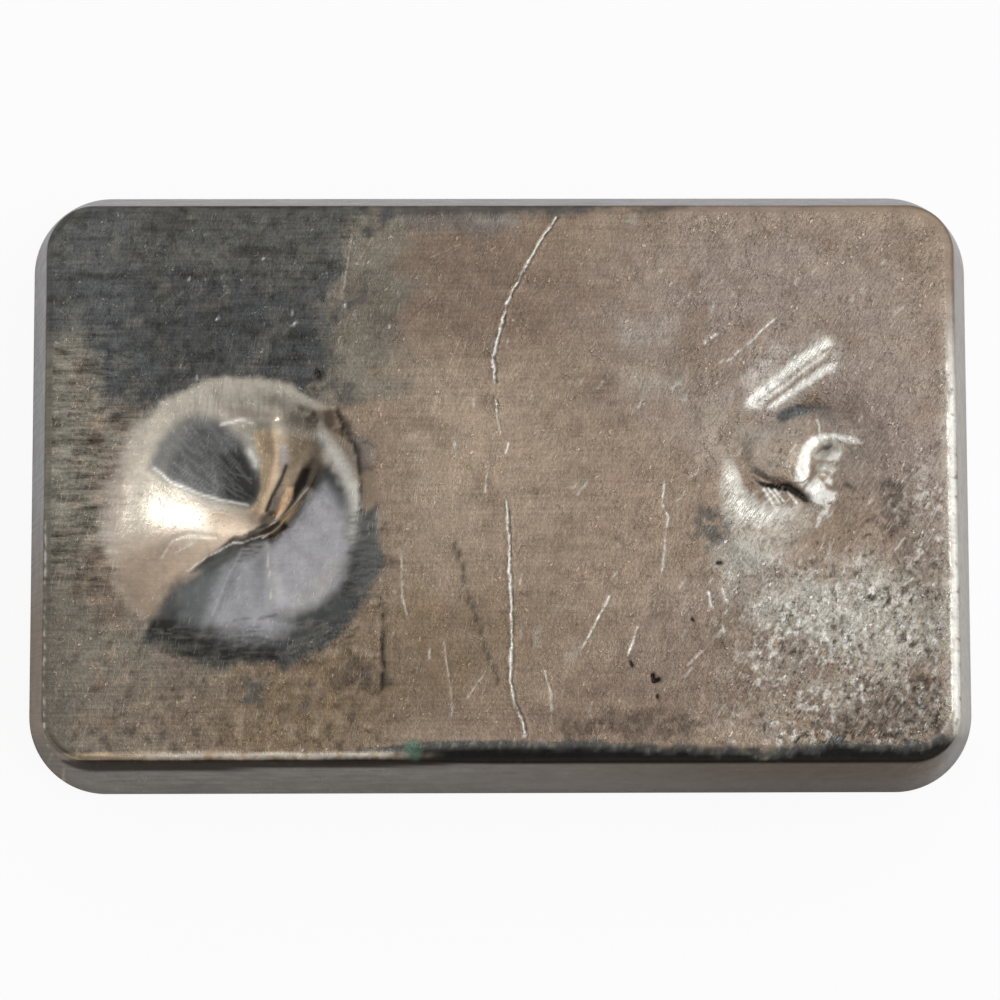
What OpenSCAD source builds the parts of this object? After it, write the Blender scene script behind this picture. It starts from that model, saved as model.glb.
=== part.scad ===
// Cast soft-metal ingot: a tapered slab with two shrinkage sinks in its upper face.
// Millimetres. X is the length, Y the width, Z up from the base; the origin is under the middle of the base.

/* [Slab] */
// Overall length at the base, along X
base_length = 116; // [96:1:150]
// Overall width at the base, along Y
base_width = 74; // [60:0.5:100]
// Height from the base to the upper face
slab_height = 18; // [14:0.5:22]
// Lean of the side walls from the upright, in degrees
wall_draft = 14; // [5:0.5:16]
// Plan radius of the four corners at the base
corner_radius = 9.6; // [8.6:0.1:14]
// Rounding of the upper face's edge at the left corners
face_edge_radius = 1; // [0.6:0.1:2]
// Rounding of the upper face's edge at the back right corner
right_edge_radius = 1.5; // [0.6:0.1:2.5]
// Rounding of the upper face's edge at the front right corner, where it is worn
worn_edge_radius = 2.5; // [1:0.1:3]
// Rounding of the edge round the base
base_edge_radius = 0.8; // [0.3:0.1:1.5]

/* [Creased sink] */
// Middle of the sink's rim from the left end of the base
crease_sink_from_end = 27.2; // [25:0.1:34]
// Middle of the sink's rim from the long middle line, towards +Y
crease_sink_across = -4.3; // [-6:0.1:6]
// Radius of the sink's rim
crease_sink_radius = 16.8; // [10:0.1:18]
// Depth at the deepest place of the crease
crease_sink_depth = 6; // [2:0.1:8]
// Turn of the crease from X, in degrees
crease_angle = 38; // [0:1:90]
// Offset of the crease from the middle of the rim
crease_offset = 2.8; // [0:0.1:5]
// Shift of the deepest place along the crease, from the middle of the rim
crease_shift = 3; // [0:0.1:4]
// How far the crease would bow aside at the lower left rim
crease_bow_left = 2.2; // [0:0.1:3]
// How far the crease would bow aside at the upper right rim
crease_bow_right = 4.3; // [0:0.1:5]

/* [Knotted sink] */
// Middle of the sink's rim from the right end of the base
knot_sink_from_end = 22.1; // [19:0.1:28]
// Middle of the sink's rim from the long middle line, towards +Y
knot_sink_across = 2.9; // [-6:0.1:6]
// Radius of the sink's rim
knot_sink_radius = 13; // [8:0.1:14]
// Depth of the sink without its knot and hole
knot_sink_depth = 1.6; // [1:0.1:3]
// Place of the knot from the middle of the rim, along X
knot_along = -3.7; // [-4.5:0.1:0]
// Place of the knot from the middle of the rim, along Y
knot_across = 0.7; // [-2:0.1:2]
// Radius of the knot left standing in the sink
knot_radius = 4.2; // [2:0.1:5]
// Height of the knot above the sink's floor, as a share of the sink's depth
knot_rise = 0.6; // [0.2:0.05:0.8]
// Place of the hole beside the knot, from the middle of the rim along X
hole_along = 2.4; // [1:0.1:4]
// Place of the hole beside the knot, from the middle of the rim along Y
hole_across = 0.5; // [-2:0.1:3]
// Radius of the hole beside the knot
hole_radius = 1.3; // [0.6:0.1:2]
// Depth of the hole below the sink's floor
hole_depth = 1.1; // [0.4:0.1:2]

/* [Fineness] */
// Facets round a whole corner circle
corner_facets = 48; // [24:4:64]
// Facets along each rounded edge
edge_facets = 6; // [3:1:10]
// Facets round a sink
sink_sectors = 64; // [32:4:80]
// Rings of facets from a sink's deepest place to its rim
sink_rings = 16; // [8:1:20]

/* [Hidden] */
ingot_color = [0.56, 0.52, 0.48];
// The wall's width at height z, seen from a corner's own axis
base_arc_x = corner_radius - base_edge_radius;
function wall_x(z) = base_arc_x + base_edge_radius / cos(wall_draft) - (z - base_edge_radius) * tan(wall_draft);
// The cutters stand this far above the upper face
cutter_lid = 2;
// How the creased sink rises along its crease, and how it rises across it
along_fullness = 1.6;
along_power = 1.8;
across_power = 1.7;
// How suddenly the bow of the crease dies out at the rim
bow_power = 3;
// How the knotted sink rises to its rim, and how square the knot's shoulder is
knot_sink_power = 2;
knot_power = 4;
// How far the rings of a sink draw in towards its deepest place
ring_bias = 1.15;

// Points on an arc round [x, z] from angle a to angle b
function arc(x, z, r, a, b, n) =
    [for (i = [0:n]) let (t = a + (b - a) * i / n) [x + r * cos(t), z + r * sin(t)]];

// Distance from a sink's deepest place to its rim at angle a, for a rim of radius r round c
function rim_reach(a, r, c) =
    let (e = [cos(a), sin(a)], side = c[0] * e[1] - c[1] * e[0])
    c * e + sqrt(r * r - side * side);

// Half the section of one corner, turned about the corner's axis
module corner_post(edge_radius) {
    face_arc_z = slab_height - edge_radius;
    face_arc_x = wall_x(face_arc_z) - edge_radius / cos(wall_draft);
    section = concat(
        [[0, 0]],
        arc(base_arc_x, base_edge_radius, base_edge_radius, -90, wall_draft, edge_facets),
        arc(face_arc_x, face_arc_z, edge_radius, wall_draft, 90, edge_facets),
        [[0, slab_height]]);
    rotate_extrude($fn = corner_facets) polygon(section);
}

// The slab without its sinks: four corners drawn together, each with its own wear
module slab() {
    post_x = base_length / 2 - corner_radius;
    post_y = base_width / 2 - corner_radius;
    hull() {
        for (y = [-post_y, post_y]) translate([-post_x, y, 0]) corner_post(face_edge_radius);
        translate([post_x, post_y, 0]) corner_post(right_edge_radius);
        translate([post_x, -post_y, 0]) corner_post(worn_edge_radius);
    }
}

// A cutter with a bowl for its underside: depth_at gives the depth at share q of the way out, angle a and distance s,
// and aside_at how far a place at share q and x along the cutter is pushed towards its +Y
module sink_cutter(reach_at, depth_at, aside_at = function (q, x) 0) {
    n = sink_sectors;
    m = sink_rings;
    bowl = [for (i = [1:m], j = [0:n - 1])
        let (q = pow(i / m, ring_bias), a = 360 * j / n, s = q * reach_at(a))
        [s * cos(a), s * sin(a) + aside_at(q, s * cos(a)), -depth_at(q, a, s)]];
    lid = [for (j = [0:n - 1]) let (p = bowl[(m - 1) * n + j]) [p[0], p[1], cutter_lid]];
    // Index of the point at ring i and sector j; ring m + 1 is the lid
    at = function (i, j) 1 + (i - 1) * n + j % n;
    fan = [for (j = [0:n - 1]) [0, at(1, j), at(1, j + 1)]];
    lower = [for (i = [1:m - 1], j = [0:n - 1]) [at(i, j), at(i + 1, j), at(i + 1, j + 1)]];
    upper = [for (i = [1:m - 1], j = [0:n - 1]) [at(i, j), at(i + 1, j + 1), at(i, j + 1)]];
    wall = [for (j = [0:n - 1]) [at(m, j), at(m + 1, j), at(m + 1, j + 1), at(m, j + 1)]];
    cap = [[for (j = [n - 1:-1:0]) at(m + 1, j)]];
    polyhedron(
        points = concat([[0, 0, -depth_at(0, 0, 0)]], bowl, lid),
        faces = concat(fan, lower, upper, wall, cap));
}

// The large sink: two slopes that meet in a bowed crease, which lies along the cutter's own X
module creased_sink() {
    reach_at = function (a) rim_reach(a, crease_sink_radius, [-crease_shift, crease_offset]);
    depth_at = function (q, a, s)
        let (across = abs(sin(a)), along = pow(1 - pow(q, along_fullness), along_power))
        crease_sink_depth * ((1 - across) * along + across * pow(1 - q, across_power));
    aside_at = function (q, x)
        let (bow = x < 0 ? crease_bow_left : crease_bow_right, end = x < 0 ? reach_at(180) : reach_at(0))
        bow * pow(x / end, 2) * (1 - pow(q, bow_power));
    translate([-base_length / 2 + crease_sink_from_end, crease_sink_across, slab_height])
        rotate(crease_angle)
            translate([crease_shift, -crease_offset, 0])
                sink_cutter(reach_at, depth_at, aside_at);
}

// The small sink: a shallow bowl with a knot left standing in it and a hole beside the knot
module knotted_sink() {
    hole = [hole_along, hole_across];
    knot = [knot_along, knot_across];
    reach_at = function (a) rim_reach(a, knot_sink_radius, -hole);
    depth_at = function (q, a, s)
        let (p = hole + s * [cos(a), sin(a)],
             bowl = pow(max(0, 1 - pow(norm(p) / knot_sink_radius, 2)), knot_sink_power),
             rise = knot_rise * exp(-pow(norm(p - knot) / knot_radius, knot_power)),
             drop = exp(-pow(s / hole_radius, knot_power)))
        knot_sink_depth * bowl * (1 - rise) + hole_depth * drop;
    translate([base_length / 2 - knot_sink_from_end, knot_sink_across, slab_height])
        translate(hole) sink_cutter(reach_at, depth_at);
}

module ingot() {
    color(ingot_color)
        difference() {
            slab();
            creased_sink();
            knotted_sink();
        }
}

ingot();
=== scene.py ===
"""Dresses the cast ingot: a slab with its sinks, crack, scratches and tarnish, with painted highlights, shade
and reflections, on a plain stage.
"""
import math
from collections import namedtuple
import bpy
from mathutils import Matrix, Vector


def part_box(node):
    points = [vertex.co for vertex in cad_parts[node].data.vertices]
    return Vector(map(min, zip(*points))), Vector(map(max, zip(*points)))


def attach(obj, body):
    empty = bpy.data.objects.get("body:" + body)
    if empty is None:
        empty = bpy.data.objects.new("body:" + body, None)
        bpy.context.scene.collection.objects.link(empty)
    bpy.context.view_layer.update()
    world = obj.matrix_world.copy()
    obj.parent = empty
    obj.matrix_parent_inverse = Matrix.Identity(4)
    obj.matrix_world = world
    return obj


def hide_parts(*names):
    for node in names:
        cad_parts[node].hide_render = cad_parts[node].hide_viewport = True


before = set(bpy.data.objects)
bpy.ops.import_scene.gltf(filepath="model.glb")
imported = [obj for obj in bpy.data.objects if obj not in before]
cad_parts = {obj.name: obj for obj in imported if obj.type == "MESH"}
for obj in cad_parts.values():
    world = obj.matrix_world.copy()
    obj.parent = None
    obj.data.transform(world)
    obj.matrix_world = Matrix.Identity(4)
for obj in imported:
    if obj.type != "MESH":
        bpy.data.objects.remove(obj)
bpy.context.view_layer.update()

from types import SimpleNamespace

import bmesh
import bpy
import numpy as np
from mathutils import Euler, Vector

bl_info = {
    "name": "Cast ingot",
    "version": (1, 0, 0),
    "blender": (4, 5, 0),
    "location": "View3D > Sidebar > Ingot",
    "description": "Models a cast soft-metal ingot with shrinkage sinks, and a plain stage for it",
    "category": "Add Mesh",
}

MM = 0.001
NODE = "ingot"
BODY = "root"
CAD_LOW, CAD_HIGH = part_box(NODE)
BASE_LENGTH, BASE_WIDTH, SLAB_HEIGHT = (CAD_HIGH - CAD_LOW) / MM


# The values that a user would change.
def length(name, description, millimetres):
    return bpy.props.FloatProperty(
        name=name, description=description, default=millimetres * MM, unit="LENGTH")


def angle(name, description, degrees):
    return bpy.props.FloatProperty(
        name=name, description=description, default=math.radians(degrees), subtype="ANGLE")


def tint(name, description, red, green, blue):
    return bpy.props.FloatVectorProperty(
        name=name, description=description, default=(red, green, blue), subtype="COLOR", min=0.0, max=1.0)


class IngotSizes(bpy.types.PropertyGroup):
    """Sizes of the slab and its sinks"""

    cell: length("Cell", "Mesh cell on the upper face, halved and quartered round the marks", 0.5)
    wall_draft: angle("Wall draft", "Lean of the side walls from the upright", 14.0)
    corner_radius: length("Corner radius", "Plan radius of the corners at the base", 9.6)
    face_edge_radius: length("Face edge", "Rounding of the edge round the upper face", 1.0)
    right_edge_radius: length("Right edge", "Rounding of that edge at the right end", 1.5)
    worn_edge_radius: length("Worn edge", "Rounding of that edge along the right half of the front", 2.5)
    base_edge_radius: length("Base edge", "Rounding of the edge round the base", 0.8)
    crease_sink_x: length("Creased sink X", "Middle of its rim along the length", -30.8)
    crease_sink_y: length("Creased sink Y", "Middle of its rim across the width", -4.3)
    crease_sink_radius: length("Creased sink radius", "Radius of its rim", 16.8)
    crease_sink_depth: length("Creased sink depth", "Depth at its deepest place", 6.0)
    crease_angle: angle("Crease angle", "Turn of the crease from the length", 38.0)
    crease_offset: length("Crease offset", "Offset of the crease from the middle of the rim", 2.8)
    crease_shift: length("Crease shift", "Shift of the deepest place along the crease", 3.0)
    knot_sink_x: length("Knotted sink X", "Middle of its rim along the length", 35.9)
    knot_sink_y: length("Knotted sink Y", "Middle of its rim across the width", 2.9)
    knot_sink_radius: length("Knotted sink radius", "Radius of its rim", 13.0)
    knot_sink_depth: length("Knotted sink depth", "Depth without its knot and hole", 1.6)
    knot_x: length("Knot X", "Middle of the knot along the length", 32.2)
    knot_y: length("Knot Y", "Middle of the knot across the width", 3.6)
    knot_radius: length("Knot radius", "Radius of the knot left standing", 4.2)
    hole_x: length("Hole X", "Middle of the hole along the length", 38.3)
    hole_y: length("Hole Y", "Middle of the hole across the width", 3.4)
    hole_radius: length("Hole radius", "Radius of the hole beside the knot", 1.3)
    hole_depth: length("Hole depth", "Depth of the hole below the floor of the sink", 0.4)


class IngotColours(bpy.types.PropertyGroup):
    """Colours of the bare metal and its tarnish"""

    # Silver also paints highlights: on the edges, the lip, the knots and at the dark patch in the creased
    # sink.
    silver: tint("Silver", "Bare scraped metal", 0.92, 0.90, 0.83)
    pearl: tint("Pearl", "Bright clean lining of the creased sink", 0.53, 0.48, 0.40)
    # Painted reflection of a cool part of the room on the creased sink's slopes.
    lavender: tint("Lavender", "Cool clean lining of the creased sink", 0.55, 0.54, 0.56)
    frost: tint("Frost", "Silvery film at the lower right", 0.55, 0.52, 0.45)
    pewter: tint("Pewter", "Pale grey tarnish", 0.42, 0.375, 0.315)
    tan: tint("Tan", "Pale warm tarnish", 0.43, 0.335, 0.25)
    clay: tint("Clay", "Common warm tarnish of the face", 0.33, 0.25, 0.188)
    taupe: tint("Taupe", "Greyer tarnish of the right end", 0.325, 0.262, 0.222)
    brown: tint("Brown", "Darker warm tarnish", 0.23, 0.168, 0.127)
    ochre: tint("Ochre", "Yellow-brown tarnish", 0.23, 0.166, 0.104)
    # Ash also paints shade on the front wall and highlights along the top of the front band.
    ash: tint("Ash", "Grey tarnish of the left end", 0.235, 0.222, 0.182)
    # Honey also paints the highlight beads along the lip.
    honey: tint("Honey", "Bright warm fold beside the gully", 0.85, 0.64, 0.43)
    # Painted reflection of something orange: the streak in the gully.
    copper: tint("Copper", "Orange streak in the gully", 1.0, 0.68, 0.42)
    umber: tint("Umber", "Dark brown grime", 0.105, 0.082, 0.064)
    slate: tint("Slate", "Blue-grey film", 0.155, 0.16, 0.16)
    # Soot also paints dark reflections: the dark patch in the creased sink and the band along the front edge.
    soot: tint("Soot", "Dark grey film", 0.086, 0.089, 0.088)
    # Black also paints the shadow under the lip and the darkest reflections, in the creased sink and along
    # the front edge.
    black: tint("Black", "Grime in pits and on the worn edge", 0.02, 0.018, 0.016)
    verdigris: tint("Verdigris", "Green speck on the front edge", 0.09, 0.21, 0.14)
    wall_grey: tint("Wall grey", "Clean film on the side walls", 0.66, 0.67, 0.7)


def read_sizes(group):
    """The sizes as plain numbers, lengths in millimetres and angles in radians."""
    values = SimpleNamespace()
    for name, made in group.bl_rna.properties.items():
        if made.type == "FLOAT":
            setattr(values, name, getattr(group, name) / (MM if made.unit == "LENGTH" else 1.0))
    return values


def read_palette(group):
    """The colours by name."""
    names = [name for name, made in group.bl_rna.properties.items() if made.type == "FLOAT"]
    return {name: np.array(getattr(group, name)) for name in names}


# Marks on the upper face, in millimetres from the middle of the ingot.
# A groove's depth is below the face, its share is how far its colour covers.
Groove = namedtuple("Groove", "path width depth colour share")
# A fold has no colour of its own, and a line has no depth.
Fold = namedtuple("Fold", "path width depth")
Line = namedtuple("Line", "path width colour share")
# A step is a slope along a straight path, facing its right.
Step = namedtuple("Step", "path width drop")
# An ellipse has a soft edge, squash being its height over its width; a spot is one with a colour.
Ellipse = namedtuple("Ellipse", "middle reach squash turn soft")
Spot = namedtuple("Spot", "colour middle reach squash turn soft share")
# An area is a soft polygon, ragged being how far its edge wanders and broken how much of it is worn through.
Area = namedtuple("Area", "colour outline soft ragged broken share")
# A scatter is a crowd of short strokes, all leaning about the same way.
Scatter = namedtuple("Scatter", "colour middle reach count lean spread length width share depth")
Stroke = namedtuple("Stroke", "x y lean half strength")
# A noise has features of a size in millimetres, drawn out by stretch along a lean in degrees from X.
Noise = namedtuple("Noise", "size seed octaves stretch lean", defaults=(4, 1.0, 0.0))
# A mottle lays a colour where its noise rises from one value to another.
Mottle = namedtuple("Mottle", "colour share noise rise")
# A fade lays a colour that grows along X, Y or both; each way has a start, an end and how far they wander.
Fade = namedtuple("Fade", "colour share way_x way_y")
# A strip lies between an inner border, which wanders, and an outer one, both along X.
Strip = namedtuple("Strip", "colour share inner wander outer")

# The crack, in three stretches.
CRACK = (
    ((6.6, 31.4), (4.5, 28.3), (3.3, 26.1), (2.1, 23.8), (0.8, 21.2), (-0.2, 17.6), (-1.0, 14.8),
     (-0.7, 11.7)),
    ((-0.6, 9.5), (-0.5, 8.2)),
    ((0.6, -2.5), (0.9, -7.0), (1.0, -11.6), (1.2, -14.8), (1.2, -18.5), (1.1, -21.7), (1.0, -23.3),
     (1.5, -26.0), (2.5, -28.6), (2.7, -30.1)),
)
# Bright scratches, lines filled with grime, and pits.
SCRATCHES = (
    Groove(((12.7, -13.7), (11.3, -16.4), (9.4, -19.9)), 0.112, 0.06, "silver", 1.0),
    Groove(((16.0, -17.3), (15.4, -19.1), (14.8, -20.7)), 0.112, 0.06, "silver", 1.0),
    Groove(((5.0, -22.3), (5.7, -24.9), (5.9, -28.8)), 0.105, 0.04, "silver", 0.61),
    Groove(((19.3, -0.1), (19.0, -2.8), (19.7, -4.4), (19.3, -7.1), (18.9, -10.8)), 0.12, 0.05, "silver",
           0.74),
    Groove(((-11.8, -8.9), (-11.6, -13.7), (-11.1, -15.8)), 0.098, 0.04, "silver", 0.5),
    Groove(((-6.8, -18.8), (-6.4, -21.7), (-6.0, -24.4), (-5.8, -27.8)), 0.098, 0.03, "silver", 0.32),
    Groove(((-1.7, 0.8), (-1.9, -1.4)), 0.098, 0.04, "silver", 0.81),
    Groove(((-0.5, 8.0), (0.0, 5.4)), 0.075, 0.02, "silver", 0.41),
    Groove(((0.9, 4.4), (0.6, 3.2)), 0.098, 0.04, "silver", 0.81),
    Groove(((-4.7, 28.2), (-8.2, 26.6)), 0.09, 0.03, "tan", 0.81),
    Groove(((-3.9, 17.0), (-5.4, 12.4)), 0.075, 0.02, "tan", 0.81),
    Groove(((-4.9, 16.6), (-7.4, 10.2)), 0.075, 0.02, "tan", 0.81),
    Groove(((-5.6, 14.0), (-7.9, 8.0)), 0.075, 0.02, "tan", 0.68),
    Groove(((-3.0, 14.4), (-6.0, 7.0)), 0.075, 0.02, "tan", 0.81),
    Groove(((10.2, 0.1), (9.0, -1.7)), 0.098, 0.03, "silver", 0.54),
    Groove(((2.5, -11.0), (2.2, -12.2)), 0.098, 0.03, "silver", 0.68),
    Groove(((-1.8, -22.5), (-4.4, -26.1)), 0.09, 0.03, "silver", 0.41),
    Groove(((-17.6, 29.4), (-18.8, 21.7)), 0.105, 0.03, "pewter", 0.81),
    Groove(((-15.1, 29.0), (-17.0, 25.9)), 0.105, 0.03, "pewter", 0.68),
    Groove(((26.8, 14.2), (29.4, 16.3), (32.5, 19.2)), 0.12, 0.06, "silver", 0.81),
    Groove(((24.2, 16.3), (25.5, 17.4)), 0.15, 0.05, "silver", 0.94),
    Groove(((24.4, -13.3), (24.7, -15.1)), 0.165, 0.06, "silver", 1.0),
    Groove(((26.0, -12.8), (26.6, -14.3)), 0.165, 0.06, "silver", 1.0),
    Groove(((26.0, -17.1), (26.2, -17.9)), 0.135, 0.05, "silver", 0.94),
    Groove(((40.4, -10.7), (38.5, -14.3)), 0.12, 0.05, "silver", 0.68),
    Groove(((41.4, -11.8), (40.6, -13.3)), 0.12, 0.05, "silver", 0.68),
)
GRIMED_LINES = (
    Groove(((-5.7, -6.7), (-4.9, -9.7), (-4.1, -12.6), (-2.6, -18.0), (-1.2, -21.2), (-0.4, -23.8)), 0.32,
           0.0, "umber", 1.0),
    Groove(((5.5, -13.5), (11.3, -15.1), (17.5, -16.1), (30.0, -18.2)), 0.12, 0.02, "umber", 0.5),
    Groove(((-3.6, -15.0), (0.7, -15.4)), 0.14, 0.02, "umber", 0.5),
    Groove(((-14.0, -13.7), (-14.0, -18.0), (-14.0, -21.1), (-14.1, -24.3)), 0.24, 0.06, "black", 0.95),
    Groove(((30.7, -28.6), (31.0, -30.8)), 0.16, 0.08, "black", 0.9),
    Groove(((-19.5, 8.6), (-19.1, 7.2), (-18.3, 5.3), (-17.4, 4.4), (-16.9, 2.5), (-16.7, 0.1),
           (-16.9, -2.3), (-16.7, -3.4)), 0.34, 0.12, "black", 0.85),
    Groove(((-16.9, 2.4), (-16.7, 4.1), (-15.7, 4.8), (-14.8, 3.9), (-14.6, 2.4), (-15.3, 1.2),
           (-16.4, 1.5)), 0.18, 0.04, "umber", 0.6),
    Groove(((-23.8, 8.6), (-22.3, 8.0), (-21.6, 7.2)), 0.3, 0.06, "umber", 0.7),
    Groove(((50.1, 3.6), (51.4, 4.3)), 0.3, 0.12, "umber", 0.6),
)
PITS = (
    Groove(((15.1, -21.5), (15.3, -21.9)), 0.14, 0.3, "black", 1.0),
    Groove(((17.7, -23.0), (17.8, -23.7), (18.4, -23.5)), 0.2, 0.4, "black", 1.0),
    Groove(((18.2, -25.4), (18.2, -25.6)), 0.15, 0.25, "black", 1.0),
    Groove(((22.3, -16.4), (22.5, -16.6)), 0.15, 0.25, "black", 1.0),
    Groove(((25.4, -9.8), (25.8, -9.8)), 0.18, 0.3, "black", 1.0),
    Groove(((-21.9, 12.9), (-21.6, 12.6)), 0.4, 0.3, "black", 0.9),
)

# The creased sink: how far its crease bows aside, along its length, and the folds that run off it.
CREASE_BOW = (
    (-20.0, 2.5), (-14.4, 1.8), (-10.2, 1.5), (-5.8, 1.1), (-2.5, 0.75), (0.0, 0.35), (2.3, 0.45),
    (5.9, 1.05), (9.4, 2.75), (13.0, 4.6))
PLEATS = (
    Fold(((-27.9, -6.7), (-27.4, -9.7), (-27.3, -14.5)), 0.55, 0.14),
    Fold(((-30.8, -7.2), (-32.2, -10.2), (-33.0, -12.9), (-34.8, -17.8)), 0.6, 0.1),
    Fold(((-40.1, -9.0), (-39.0, -6.8), (-37.2, -6.1), (-33.9, -6.4)), 0.22, -0.025),
    Fold(((-27.2, 7.0), (-26.9, 3.5), (-27.4, 0.5), (-28.6, -3.2)), 1.1, -0.45),
    Fold(((-30.7, -7.4), (-29.8, -7.6), (-28.7, -7.5)), 0.16, 0.05),
    Fold(((-31.0, -8.0), (-30.0, -8.0), (-29.1, -8.2)), 0.16, 0.05),
    Fold(((-31.2, -8.6), (-30.4, -8.5), (-29.5, -8.6)), 0.16, 0.05),
    Fold(((-27.9, -5.0), (-26.2, -3.0), (-24.6, -0.6), (-23.0, 1.8), (-21.8, 3.4)), 1.1, 0.35),
)

# The knotted sink: steps that face the lower right, and folds round the knot.
STEPS = (
    Step(((29.6, 8.4), (38.8, 15.8)), 1.5, 0.16),
    Step(((31.9, 8.3), (38.9, 12.9)), 0.9, 0.12),
)
FOLDS = (
    Fold(((32.6, 7.4), (34.3, 8.0), (36.0, 8.3), (38.0, 8.4)), 0.8, 0.3),
    Fold(((30.0, 0.8), (31.2, 0.0), (32.8, -0.4), (34.3, -0.9), (35.4, -1.7), (36.2, -2.3)), 0.5, 0.45),
    Fold(((35.4, -0.9), (36.6, -0.8), (37.4, 0.2), (37.6, 1.2)), 0.9, -0.3),
    Fold(((36.8, -2.2), (37.9, -2.7), (38.6, -3.1)), 0.5, -0.15),
    Fold(((35.0, 1.2), (35.6, 0.6)), 0.6, -0.2),
    Fold(((35.0, 2.1), (35.3, 3.0), (35.8, 4.0), (36.6, 4.7), (37.6, 5.2), (38.7, 5.3), (40.2, 5.3),
         (41.4, 5.1)), 0.6, -0.08),
    Fold(((38.3, 1.7), (38.8, 1.3)), 0.6, -0.25),
    Fold(((26.6, 1.6), (27.6, -1.4), (29.6, -3.6), (33.0, -3.9)), 1.4, -0.2),
    Fold(((28.6, 4.2), (28.9, 1.6), (29.2, -0.6)), 0.9, 0.2),
    Fold(((26.2, 7.2), (27.4, 8.6), (28.8, 9.4)), 1.0, -0.12),
)

# Broad zones of tarnish, laid first.
ZONES = (
    Spot("tan", (-6.0, 4.0), 11.0, 0.9, 0.0, 8.0, 0.8),
    Spot("brown", (-4.0, 24.0), 12.0, 0.7, -8.0, 7.0, 0.85),
    Spot("brown", (14.0, 18.0), 8.0, 0.8, 0.0, 7.0, 0.35),
    Spot("taupe", (32.0, 18.0), 20.0, 0.75, 0.0, 9.0, 0.9),
    Spot("taupe", (48.0, 4.0), 8.0, 1.4, 0.0, 5.0, 0.9),
    Spot("brown", (24.0, 13.0), 4.5, 1.2, 20.0, 3.0, 0.4),
    Spot("pewter", (43.0, -15.5), 9.0, 0.7, 0.0, 5.0, 0.65),
    Spot("frost", (33.0, -13.5), 9.0, 0.45, -35.0, 2.5, 0.85),
    Spot("frost", (38.6, -17.6), 3.2, 0.6, -20.0, 1.6, 0.9),
    Spot("taupe", (24.0, -20.0), 9.0, 0.9, 0.0, 5.0, 0.6),
    Spot("brown", (22.0, -21.0), 9.0, 0.7, 0.0, 5.0, 0.4),
    Spot("brown", (28.5, -21.5), 8.5, 0.65, 0.0, 4.0, 0.65),
    Spot("brown", (49.0, -28.0), 5.5, 0.6, 20.0, 3.0, 0.75),
    Spot("frost", (45.0, -17.0), 7.0, 0.75, 0.0, 3.5, 0.6),
    Spot("pewter", (42.0, -25.0), 5.0, 0.6, 0.0, 3.0, 0.5),
    Spot("pewter", (25.5, 6.0), 3.5, 1.3, 0.0, 2.5, 0.5),
    Spot("tan", (-7.0, -13.5), 5.0, 1.2, 0.0, 4.0, 0.35),
    Spot("brown", (11.0, -27.0), 12.0, 0.35, 0.0, 4.0, 0.75),
    Spot("ochre", (-14.0, -20.0), 12.0, 0.6, 0.0, 5.0, 0.6),
    Spot("ochre", (-26.0, -26.0), 16.0, 0.4, 0.0, 4.0, 0.85),
    Spot("ochre", (-4.0, -19.0), 9.0, 0.75, 10.0, 5.0, 0.5),
    Spot("ash", (-48.0, -20.0), 16.0, 0.9, 0.0, 7.0, 0.75),
    Spot("brown", (-40.0, -27.0), 9.0, 0.5, 0.0, 5.0, 0.5),
    Spot("ash", (-51.0, 4.0), 8.0, 1.9, 0.0, 4.0, 0.95),
    Spot("brown", (-9.0, -27.5), 6.0, 0.4, 0.0, 3.0, 0.7),
    Spot("ash", (-14.0, 14.0), 4.5, 1.2, 20.0, 3.0, 0.5),
)
# The outline of the dark zone at the upper left.
UPPER_LEFT = (
    (-60.0, 40.0), (-14.0, 40.0), (-15.5, 32.3), (-17.5, 27.5), (-19.5, 21.5), (-20.2, 16.1), (-19.6, 10.0),
    (-23.8, 8.0), (-30.9, 9.4), (-42.5, 7.0), (-46.5, 11.0), (-50.0, 17.0), (-60.0, 18.0))
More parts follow.
